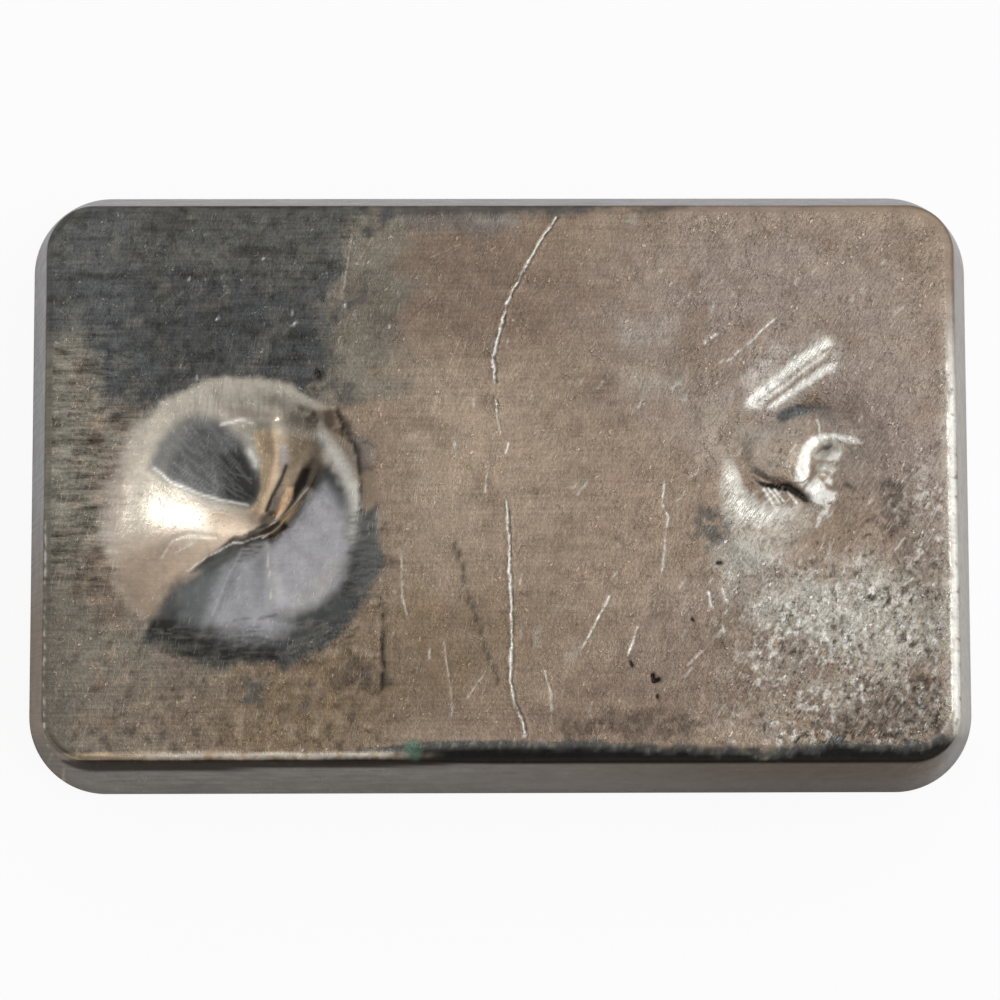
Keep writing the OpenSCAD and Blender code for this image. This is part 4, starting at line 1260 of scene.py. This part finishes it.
def paint_left_end(coat):
    """The dark upper left and the grey left edge."""
    upper_left = upper_left_of(coat)
    for fade in UPPER_LEFT_FADES:
        coat.fade(fade, upper_left)
    for mottle in UPPER_LEFT_MOTTLES:
        coat.mottle(mottle, upper_left)
    coat.fade(LEFT_EDGE_ASH, 1.0 - LEFT_EDGE_COVERED * upper_left)
    coat.fade(LEFT_EDGE_GRIME)


def paint_crack(coat):
    """A dark edge beside the crack, then its beaded glint."""
    x, y = coat.x, coat.y
    side = cloud(x, y, CRACK_SIDES)
    for way in (1.0, -1.0):
        shown = CRACK_DARK_SHARE * ease(*CRACK_SIDE_RISE, way * side)
        coat.lay("umber", shown * bell(crack_gap(x, y, way * CRACK_DARK_ASIDE), CRACK_DARK_WIDTH))
    glint = CRACK_DULLEST + (1.0 - CRACK_DULLEST) * ease(*CRACK_GLINT_RISE, cloud(x, y, CRACK_GLINTS))
    coat.lay("silver", glint * bell(crack_gap(x, y), crack_width(x, y)))


def paint_face(coat, lining, strokes):
    """The tarnish of the upper face, with its painted reflections and highlights, from the ground up."""
    for spot in ZONES:
        coat.spot(spot)
    paint_mottles(coat)
    for area in FACE_AREAS:
        coat.area(area)
    paint_left_end(coat)
    coat.lay("pearl", lining)
    coat.lay(LINING_SHADE.colour, LINING_SHADE.share * lining * disc(coat.x, coat.y, LINING_SHADE))
    for areas, lines in ((CREASED_SINK_AREAS, CREASED_SINK_LINES), (KNOTTED_SINK_AREAS, KNOTTED_SINK_LINES)):
        for area in areas:
            coat.area(area)
        for line in lines:
            coat.line(line, SINK_LINE_WANDER)
    for scatter, mask in zip(STROKES, strokes):
        coat.lay(scatter.colour, scatter.share * mask)
    for groove in GRIMED_LINES:
        coat.line(groove, GRIME_WANDER, GRIME_WEAR)
    for groove in SCRATCHES:
        coat.line(groove, SCRATCH_WANDER, SCRATCH_WEAR)
    for pit in PITS:
        coat.line(pit)
    paint_crack(coat)


def paint_walls(coat, below, on_face):
    """The side walls, clean at the back; painted shade darkens the front wall, more towards the right, and a
    painted highlight lightens the right end.
    """
    wall = ease(*WALL_TOP, below) * ~on_face
    coat.lay("wall_grey", wall)
    for fade in WALL_FADES:
        coat.fade(fade, wall)
    front = wall * ease(*FRONT_WALL_Y, coat.y)
    coat.lay("ash", front * (FRONT_WALL_SHADE + (1.0 - FRONT_WALL_SHADE) * ease(*FRONT_WALL_SHADE_X, coat.x)))
    for fade in FRONT_WALL_SHADE_FADES:
        coat.fade(fade, front)


def paint_front_edge(coat, below):
    """The dark band of grime and painted reflection with painted highlights along its top, then the painted
    shadow under the lip at the left and the painted highlight beads along it.
    """
    x, y = coat.x, coat.y
    border = np.interp(x, *zip(*BAND_TOP)) + SCALLOP_HEIGHT * cloud(x, y, SCALLOPS) * ease(*SCALLOP_X, x)
    down = border - y
    band = ease(0.0, BAND_SOFT, down) * ease(*BAND_FOOT, below)
    # Grime and painted dark reflection, with painted highlights along the top of the band.
    coat.lay("soot", BAND_DARK * band)
    coat.mottle(BAND_HIGHLIGHTS, band * ease(*BAND_HIGHLIGHTS_DOWN, down))
    coat.lay("black", BAND_BLACK * band * ease(*BAND_BLACK_DOWN, down))
    # Painted shadow under the lip.
    foot = LIP_FOOT + LIP_FOOT_DROP * ease(*LIP_FOOT_DROP_X, x)
    lip = ease(*LIP_X, x) * ease(*LIP_Y, y) * ease(foot + LIP_FOOT_SOFT, foot, below)
    coat.lay("black", LIP_SHADOW * lip)
    # Painted highlight: bright beads along the lip.
    beads = bell(y - BEAD_Y + BEAD_WANDER * coat.ragged_x, BEAD_WIDTH)
    beads *= ease(*BEAD_START_X, x) * ease(*BEAD_END_X, x)
    coat.lay("honey", BEAD_HONEY * beads)
    coat.mottle(BEAD_SILVER, beads * ease(*BEAD_SILVER_X, x))


def paint_end_edges(coat):
    """Painted highlights: the glints on the left edge and the bright strips of the right one."""
    x, y = coat.x, coat.y
    left_highlight = bell(x - LEFT_GLINT_X + LEFT_GLINT_WANDER * coat.ragged_x, LEFT_GLINT_WIDTH)
    coat.mottle(LEFT_GLINTS, left_highlight * ease(*LEFT_GLINT_Y, y))
    right_highlight = ease(*RIGHT_BACK_Y, y) * ease(*RIGHT_FRONT_Y, y)
    right_highlight *= ease(*RIGHT_GLINT_RISE, cloud(x, y, RIGHT_GLINTS))
    for strip in RIGHT_HIGHLIGHT_STRIPS:
        inside = ease(*strip.inner, x + strip.wander * coat.ragged_y) * ease(*strip.outer, x)
        coat.lay(strip.colour, strip.share * right_highlight * inside)


def paint_edges(coat, z, on_face):
    """The walls, then the edge round the face, with their painted shade and highlights."""
    below = SLAB_HEIGHT - z
    paint_walls(coat, below, on_face)
    paint_front_edge(coat, below)
    paint_end_edges(coat)
    speck = disc(coat.x, coat.y, GREEN_SPECK) * ease(*GREEN_SPECK_WEAR, coat.wear)
    coat.lay(GREEN_SPECK.colour, GREEN_SPECK.share * speck)


# Finish: how polished, grainy, ribbed and scuffed each place is.
RIGHT_END_X = (14.0, 28.0)
LEFT_END_X = (-10.0, -24.0)
FAR_LEFT_X = (-24.0, -40.0)
SCRAPED_SOFT = 0.5
SHINY_KNOTS = Ellipse((37.2, 1.4), 3.4, 1.2, 0.0, 0.8)
KNOTTED_SINK_DISC = Ellipse((35.0, 4.0), 9.0, 1.0, 0.0, 3.0)
DULL_SLOPE = ((-35.4, -3.4), (-29.0, -3.0), (-27.4, -5.0), (-30.0, -6.4), (-37.0, -10.5), (-37.0, -6.0))
DULL_SLOPE_SOFT = 1.2
SHINY_FRONT_X = (-10.0, 0.0)
SHINY_FRONT_Y = (-30.0, -32.0)
SHINY_RIGHT_X = (52.0, 53.0)
RIBS_X = (-41.0, -46.0)
RIBS_BACK_Y = (20.0, 15.0)
RIBS_FRONT_Y = (-18.0, -8.0)
RIBS_LINING_LOSS = 0.8
COMBED_Y = (3.0, 7.0)
# What the zones add to each, and which share of it is lost in others.
POLISH = SimpleNamespace(
    ground=0.42, lining=0.35, dull_loss=0.8, knotted=-0.16, front=0.35, right=0.3, shiny=0.25)
GRAIN = SimpleNamespace(
    ground=0.28, upper_left=0.06, left=0.06, right=0.14, flakes=0.3,
    lining_loss=0.85, wall_loss=0.75, shiny_loss=0.6)
UPRIGHT = SimpleNamespace(ground=0.5, lining=-0.25, right_loss=0.7, upper_left_loss=0.7, combed=0.45)
LEANING = SimpleNamespace(ground=0.1, right=0.24, flakes=0.3, scraped=0.8, left_loss=0.6)
LEVEL = SimpleNamespace(ground=0.55, left=0.45, right=-0.25, lining_loss=0.75)


def zones_of(coat, lining, on_face):
    """The masks of the zones that differ in finish."""
    x, y = coat.x, coat.y
    outlines = (BAR, THIN_BAR, SCRAPED_STRIP)
    scraped = np.max([patch(x, y, outline, SCRAPED_SOFT) for outline in outlines], axis=0)
    return SimpleNamespace(
        lining=lining,
        on_top=on_face.astype(float),
        upper_left=upper_left_of(coat),
        left=ease(*LEFT_END_X, x),
        right=ease(*RIGHT_END_X, x),
        flakes=flaky(x, y),
        scraped=scraped,
        shiny=np.maximum(scraped, disc(x, y, SHINY_KNOTS)))


def finish_of(coat, zones):
    """Polish, grain and ribs, one row a vertex."""
    x, y = coat.x, coat.y
    dull = patch(x, y, DULL_SLOPE, DULL_SLOPE_SOFT)
    polish = POLISH.ground + POLISH.lining * zones.lining * (1.0 - POLISH.dull_loss * dull)
    polish += POLISH.knotted * disc(x, y, KNOTTED_SINK_DISC) + POLISH.shiny * zones.shiny
    polish += POLISH.front * ease(*SHINY_FRONT_Y, y) * ease(*SHINY_FRONT_X, x)
    polish += POLISH.right * ease(*SHINY_RIGHT_X, x)
    grain = GRAIN.ground + GRAIN.upper_left * zones.upper_left + GRAIN.left * zones.left
    grain += GRAIN.right * zones.right + GRAIN.flakes * zones.flakes
    grain *= 1.0 - GRAIN.lining_loss * zones.lining
    grain *= 1.0 - GRAIN.wall_loss * (1.0 - zones.on_top)
    grain *= 1.0 - GRAIN.shiny_loss * zones.shiny
    ribs = ease(*RIBS_X, x + coat.ragged_x) * ease(*RIBS_BACK_Y, y) * ease(*RIBS_FRONT_Y, y)
    ribs *= zones.on_top * (1.0 - RIBS_LINING_LOSS * zones.lining)
    return np.stack([np.clip(polish, 0.0, 1.0), np.clip(grain, 0.0, 1.0), ribs], axis=1)


def scuffs_of(coat, zones):
    """Upright, leaning and level scuffs, one row a vertex."""
    upright = (UPRIGHT.ground + UPRIGHT.lining * zones.lining) * zones.on_top
    upright *= (1.0 - UPRIGHT.right_loss * zones.right) * (1.0 - UPRIGHT.upper_left_loss * zones.upper_left)
    upright += UPRIGHT.combed * zones.lining * ease(*COMBED_Y, coat.y)
    leaning = LEANING.ground + LEANING.right * zones.right + LEANING.flakes * zones.flakes
    leaning = np.clip(leaning + LEANING.scraped * zones.scraped, 0.0, 1.0) * zones.on_top
    leaning *= (1.0 - zones.lining) * (1.0 - LEANING.left_loss * np.maximum(zones.upper_left, zones.left))
    far_left = np.clip(zones.upper_left + ease(*FAR_LEFT_X, coat.x), 0.0, 1.0)
    level = LEVEL.ground + LEVEL.left * far_left + LEVEL.right * zones.right
    level *= 1.0 - LEVEL.lining_loss * zones.lining
    return np.stack([upright, leaning, level], axis=1)


def store_colour(piece, name, values):
    """Keeps three values a vertex as a colour attribute."""
    layer = piece.data.color_attributes.new(name=name, type="FLOAT_COLOR", domain="POINT")
    full = np.ones((len(values), 4))
    full[:, :3] = values
    layer.data.foreach_set("color", full.ravel())


def paint_tarnish(piece, sizes, palette, places, on_face, strokes):
    """Paints colour, among it painted highlights, shade and reflections, finish and scuffs on the vertices.
    """
    x, y, z = places.T
    coat = Coat(x, y, palette)
    lining = lining_of(coat, sizes)
    paint_face(coat, lining, strokes)
    paint_edges(coat, z, on_face)
    zones = zones_of(coat, lining, on_face)
    store_colour(piece, "tarnish", coat.colour)
    store_colour(piece, "finish", finish_of(coat, zones))
    store_colour(piece, "scuffs", scuffs_of(coat, zones))


# The material.
class Signal:
    """A node's output that Python's own arithmetic can work on."""

    def __init__(self, tree, socket):
        self.tree = tree
        self.socket = socket

    def math(self, operation, first, second):
        return add_node(self.tree, "ShaderNodeMath", {"operation": operation}, {0: first, 1: second})

    def __add__(self, other):
        return self.math("ADD", self, other)

    def __radd__(self, other):
        return self.math("ADD", other, self)

    def __sub__(self, other):
        return self.math("SUBTRACT", self, other)

    def __rsub__(self, other):
        return self.math("SUBTRACT", other, self)

    def __mul__(self, other):
        return self.math("MULTIPLY", self, other)

    def __rmul__(self, other):
        return self.math("MULTIPLY", other, self)

    def eased(self, low, high):
        """Rises smoothly from 0 at low to 1 at high."""
        return add_node(self.tree, "ShaderNodeMapRange", {"interpolation_type": "SMOOTHSTEP"},
                        {0: self, 1: low, 2: high, 3: 0.0, 4: 1.0})


def add_node(tree, kind, settings, sockets, output=0):
    """Adds a node, sets it up, fills or links its sockets, and gives one of its outputs."""
    made = tree.nodes.new(kind)
    for name, value in settings.items():
        setattr(made, name, value)
    for name, value in sockets.items():
        if isinstance(value, Signal):
            tree.links.new(value.socket, made.inputs[name])
        else:
            made.inputs[name].default_value = value
    return Signal(tree, made.outputs[output])


def split(tree, attribute):
    """The three channels of a colour attribute."""
    read = add_node(tree, "ShaderNodeAttribute", {"attribute_name": attribute}, {}, "Color")
    parts = add_node(tree, "ShaderNodeSeparateColor", {}, {0: read})
    return [Signal(tree, parts.socket.node.outputs[index]) for index in range(3)]


# How much of the mirror glare at grazing views the film lets through.
EDGE_TINT = (0.5, 0.47, 0.45, 1.0)
# A grit is noise about zero; its features are width by height millimetres, their height leaning from X.
# Where only its peaks or hollows are wanted, it is eased over its rise.
GRIT_MIDDLE = 0.5
QUARTER_TURN = 90.0
Grit = namedtuple("Grit", "width height lean detail harshness dimensions rise", defaults=(0.5, "2D", None))
MOTTLING = Grit(2.2, 2.2, 90.0, 5.0, 0.7, "3D")
CLUMPS = Grit(3.2, 3.2, 90.0, 2.0, rise=(-0.08, 0.12))
FLECKS = Grit(0.4, 0.4, 90.0, 3.0, 0.65)
NUBS = Grit(0.5, 0.9, 62.0, 3.0, 0.6, rise=(0.1, 0.18))
DENTS = Grit(0.6, 0.8, 74.0, 3.0, 0.6, rise=(-0.11, -0.2))
HAIRS = Grit(0.14, 2.4, 80.0, 2.0, rise=(0.14, 0.26))
SLANTS = Grit(0.2, 1.6, 57.0, 2.0, rise=(0.12, 0.24))
BANDS = Grit(0.35, 7.0, 0.0, 3.0)
RIPPLES = Grit(0.85, 3.6, 0.0, 3.0, 0.6)
CROWDS = Grit(6.0, 6.0, 90.0, 2.0, rise=(-0.06, 0.16))
PIMPLES = Grit(0.9, 1.3, 62.0, 4.0, 0.6)
# What the grits do to the colour's brightness, to the roughness and to the height of the bump. The nubs'
# brightening of the colour is a painted highlight on the relief.
SHADE = SimpleNamespace(
    ground=0.975, mottling=0.9, flecks=2.0, hairs=0.5, slants=0.9, bands=0.7, ripples=2.4,
    nubs=2.6, dents=0.6)
BARE_SCORES = 0.55
ROUGHNESS = SimpleNamespace(ground=0.5, polish=0.38, flecks=0.3)
RELIEF = SimpleNamespace(flecks=0.9, pimples=1.4, ripples=0.9, slants=0.4, nubs=1.6, dents=0.5, scores=0.35)
BUMP_STRENGTH = 0.8
BUMP_HEIGHT = 0.25 * MM


def cast_metal(palette):
    """Tarnished cast metal: the painted tarnish with its painted highlights, shade and reflections, mottled
    and scuffed, over fine relief.
    """
    material = bpy.data.materials.new("cast_metal")
    material.use_nodes = True
    tree = material.node_tree
    shader = tree.nodes["Principled BSDF"]
    shader.inputs["Metallic"].default_value = 1.0
    shader.inputs["Specular Tint"].default_value = EDGE_TINT
    place = add_node(tree, "ShaderNodeTexCoord", {}, {}, "Object")
    place = add_node(tree, "ShaderNodeVectorMath", {"operation": "SCALE"}, {0: place, "Scale": 1.0 / MM})
    # The painted colour: tarnish with painted highlights, shade and reflections.
    tarnish = add_node(tree, "ShaderNodeAttribute", {"attribute_name": "tarnish"}, {}, "Color")
    polish, grain, ribs = split(tree, "finish")
    upright, leaning, level = split(tree, "scuffs")

    def grit(made):
        turn = (0.0, 0.0, math.radians(made.lean - QUARTER_TURN))
        mapped = add_node(tree, "ShaderNodeMapping", {"vector_type": "TEXTURE"},
                          {"Vector": place, "Rotation": turn, "Scale": (made.width, made.height, made.width)})
        noise = add_node(tree, "ShaderNodeTexNoise", {"noise_dimensions": made.dimensions},
                         {"Vector": mapped, "Scale": 1.0, "Detail": made.detail, "Roughness": made.harshness})
        return noise - GRIT_MIDDLE

    mottling, flecks, hairs, slants = grit(MOTTLING), grit(FLECKS), grit(HAIRS), grit(SLANTS)
    bands, ripples, pimples = grit(BANDS), grit(RIPPLES), grit(PIMPLES)
    clumps = grit(CLUMPS).eased(*CLUMPS.rise)
    crowds = grit(CROWDS).eased(*CROWDS.rise)
    nubs = grit(NUBS).eased(*NUBS.rise) * clumps
    dents = grit(DENTS).eased(*DENTS.rise) * clumps
    scores = hairs.eased(*HAIRS.rise) * upright * crowds + slants.eased(*SLANTS.rise) * leaning
    shade = SHADE.ground + mottling * SHADE.mottling + bands * level * SHADE.bands
    shade = shade + ripples * ribs * SHADE.ripples
    shade = shade + hairs * upright * crowds * SHADE.hairs + slants * leaning * SHADE.slants
    # The nubs brighten the colour: painted highlights on the relief.
    shade = shade + (flecks * SHADE.flecks + nubs * SHADE.nubs - dents * SHADE.dents) * grain
    colour = add_node(tree, "ShaderNodeVectorMath", {"operation": "SCALE"}, {0: tarnish, "Scale": shade})
    # Sockets 6 and 7 and output 2 are those for colours.
    bright = add_node(tree, "ShaderNodeMix", {"data_type": "RGBA"},
                      {"Factor": scores * BARE_SCORES, 6: colour, 7: (*palette["silver"], 1.0)}, 2)
    tree.links.new(bright.socket, shader.inputs["Base Color"])
    rough = ROUGHNESS.ground - polish * ROUGHNESS.polish + flecks * grain * ROUGHNESS.flecks
    tree.links.new(rough.socket, shader.inputs["Roughness"])
    height = mottling + flecks * RELIEF.flecks + pimples * clumps * RELIEF.pimples
    height = (height + nubs * RELIEF.nubs - dents * RELIEF.dents) * grain
    height = height + ripples * ribs * RELIEF.ripples + slants * leaning * RELIEF.slants
    height = height - scores * RELIEF.scores
    bump = add_node(tree, "ShaderNodeBump", {},
                    {"Strength": BUMP_STRENGTH, "Distance": BUMP_HEIGHT, "Height": height})
    tree.links.new(bump.socket, shader.inputs["Normal"])
    return material


class INGOT_OT_cast_slab(bpy.types.Operator):
    """Model the cast slab with its sinks, crack and scratches, and paint its tarnish with painted highlights,
    shade and reflections
    """

    bl_idname = "ingot.cast_slab"
    bl_label = "Cast slab"

    def execute(self, context):
        sizes = read_sizes(context.scene.ingot_sizes)
        palette = read_palette(context.scene.ingot_colours)
        crowds = [draw_strokes(scatter, seed) for seed, scatter in enumerate(STROKES)]
        piece = model_slab(sizes, crowds)
        places = places_of(piece)
        x, y, z = places.T
        on_face = z > SLAB_HEIGHT - FACE_TOLERANCE
        strokes = [stroke_mask(x, y, scatter, crowd) * on_face for scatter, crowd in zip(STROKES, crowds)]
        press_relief(piece, sizes, places, on_face, strokes)
        paint_tarnish(piece, sizes, palette, places, on_face, strokes)
        bpy.ops.object.shade_smooth()
        piece.data.materials.append(cast_metal(palette))
        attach(piece, BODY)
        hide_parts(NODE)
        return {"FINISHED"}


class INGOT_OT_stage(bpy.types.Operator):
    """Set out the floor, the soft lamp, the room's light and the camera"""

    bl_idname = "ingot.stage"
    bl_label = "Stage"

    def execute(self, context):
        lay_floor(context)
        hang_lamp(context)
        light_room(context)
        set_camera(context)
        context.scene.view_settings.view_transform = "Standard"
        return {"FINISHED"}


# The stage, in metres and watts.
WHITE = (1.0, 1.0, 1.0, 1.0)
FLOOR_SIZE = 3.0
FLOOR_COLOUR = (0.95, 0.95, 0.95, 1.0)
FLOOR_ROUGHNESS = 0.9
# To the camera alone, the floor glows with this share of plain white.
FLOOR_GLOW = 0.9
LAMP_PLACE = Vector((0.41, -0.05, 0.81))
LAMP_SIZE = 0.16
LAMP_POWER = 0.55
# The room is brighter towards the right and darker towards the front.
ROOM = SimpleNamespace(ground=0.62, right=0.42, front=0.36)
ROOM_RIGHT = (-0.5, 0.5)
ROOM_FRONT = (-0.2, -0.6)
# The camera's lens and sensor in millimetres, its turns in degrees and its place.
LENS = 100.8
SENSOR_WIDTH = 36.0
CAMERA_TURNS = (5.05, -0.42, -0.1)
CAMERA_PLACE = Vector((-2.59, -31.38, 346.55)) * MM


def lay_floor(context):
    bpy.ops.object.select_all(action="DESELECT")
    bpy.ops.mesh.primitive_plane_add(size=FLOOR_SIZE)
    floor = context.object
    floor.name = "floor"
    paint = bpy.data.materials.new("pale_floor")
    paint.use_nodes = True
    tree = paint.node_tree
    shader = tree.nodes["Principled BSDF"]
    shader.inputs["Base Color"].default_value = FLOOR_COLOUR
    shader.inputs["Roughness"].default_value = FLOOR_ROUGHNESS
    shader.inputs["Specular IOR Level"].default_value = 0.0
    glow = add_node(tree, "ShaderNodeEmission", {}, {"Color": WHITE, "Strength": 1.0})
    seen = add_node(tree, "ShaderNodeLightPath", {}, {}, "Is Camera Ray")
    mixed = add_node(tree, "ShaderNodeMixShader", {}, {0: seen * FLOOR_GLOW, 2: glow})
    tree.links.new(shader.outputs[0], mixed.socket.node.inputs[1])
    tree.links.new(mixed.socket, tree.nodes["Material Output"].inputs["Surface"])
    floor.data.materials.append(paint)


def hang_lamp(context):
    bpy.ops.object.light_add(type="AREA", location=LAMP_PLACE)
    lamp = context.object
    lamp.name = "right_softbox"
    lamp.data.shape = "RECTANGLE"
    lamp.data.size = LAMP_SIZE
    lamp.data.size_y = LAMP_SIZE
    lamp.data.energy = LAMP_POWER
    lamp.rotation_euler = LAMP_PLACE.to_track_quat("Z", "Y").to_euler()


def light_room(context):
    world = bpy.data.worlds.new("soft_room")
    context.scene.world = world
    world.use_nodes = True
    tree = world.node_tree
    toward = add_node(tree, "ShaderNodeTexCoord", {}, {}, "Generated")
    parts = add_node(tree, "ShaderNodeSeparateXYZ", {}, {0: toward})
    right = parts.eased(*ROOM_RIGHT)
    front = Signal(tree, parts.socket.node.outputs[1]).eased(*ROOM_FRONT)
    strength = ROOM.ground + right * ROOM.right - front * ROOM.front
    tree.links.new(strength.socket, tree.nodes["Background"].inputs["Strength"])
    tree.nodes["Background"].inputs["Color"].default_value = WHITE


def set_camera(context):
    camera = bpy.data.cameras.new("camera")
    camera.lens = LENS
    camera.sensor_width = SENSOR_WIDTH
    view = bpy.data.objects.new("camera", camera)
    context.scene.collection.objects.link(view)
    turn = Euler([math.radians(degrees) for degrees in CAMERA_TURNS], "ZYX")
    view.rotation_euler = turn.to_matrix().to_euler()
    view.location = CAMERA_PLACE
    context.scene.camera = view


class INGOT_PT_panel(bpy.types.Panel):
    """Lists the ingot's operators with their sizes and colours"""

    bl_idname = "INGOT_PT_panel"
    bl_label = "Cast ingot"
    bl_space_type = "VIEW_3D"
    bl_region_type = "UI"
    bl_category = "Ingot"

    def draw(self, context):
        for operator in (INGOT_OT_cast_slab, INGOT_OT_stage):
            self.layout.operator(operator.bl_idname)
        for group in (context.scene.ingot_sizes, context.scene.ingot_colours):
            for name, made in group.bl_rna.properties.items():
                if made.type == "FLOAT":
                    self.layout.prop(group, name)


CLASSES = (IngotSizes, IngotColours, INGOT_OT_cast_slab, INGOT_OT_stage, INGOT_PT_panel)


def register():
    for cls in CLASSES:
        bpy.utils.register_class(cls)
    bpy.types.Scene.ingot_sizes = bpy.props.PointerProperty(type=IngotSizes)
    bpy.types.Scene.ingot_colours = bpy.props.PointerProperty(type=IngotColours)


def unregister():
    del bpy.types.Scene.ingot_colours
    del bpy.types.Scene.ingot_sizes
    for cls in reversed(CLASSES):
        bpy.utils.unregister_class(cls)


def main():
    register()
    bpy.ops.ingot.cast_slab()
    bpy.ops.ingot.stage()


if __name__ == "__main__":
    main()
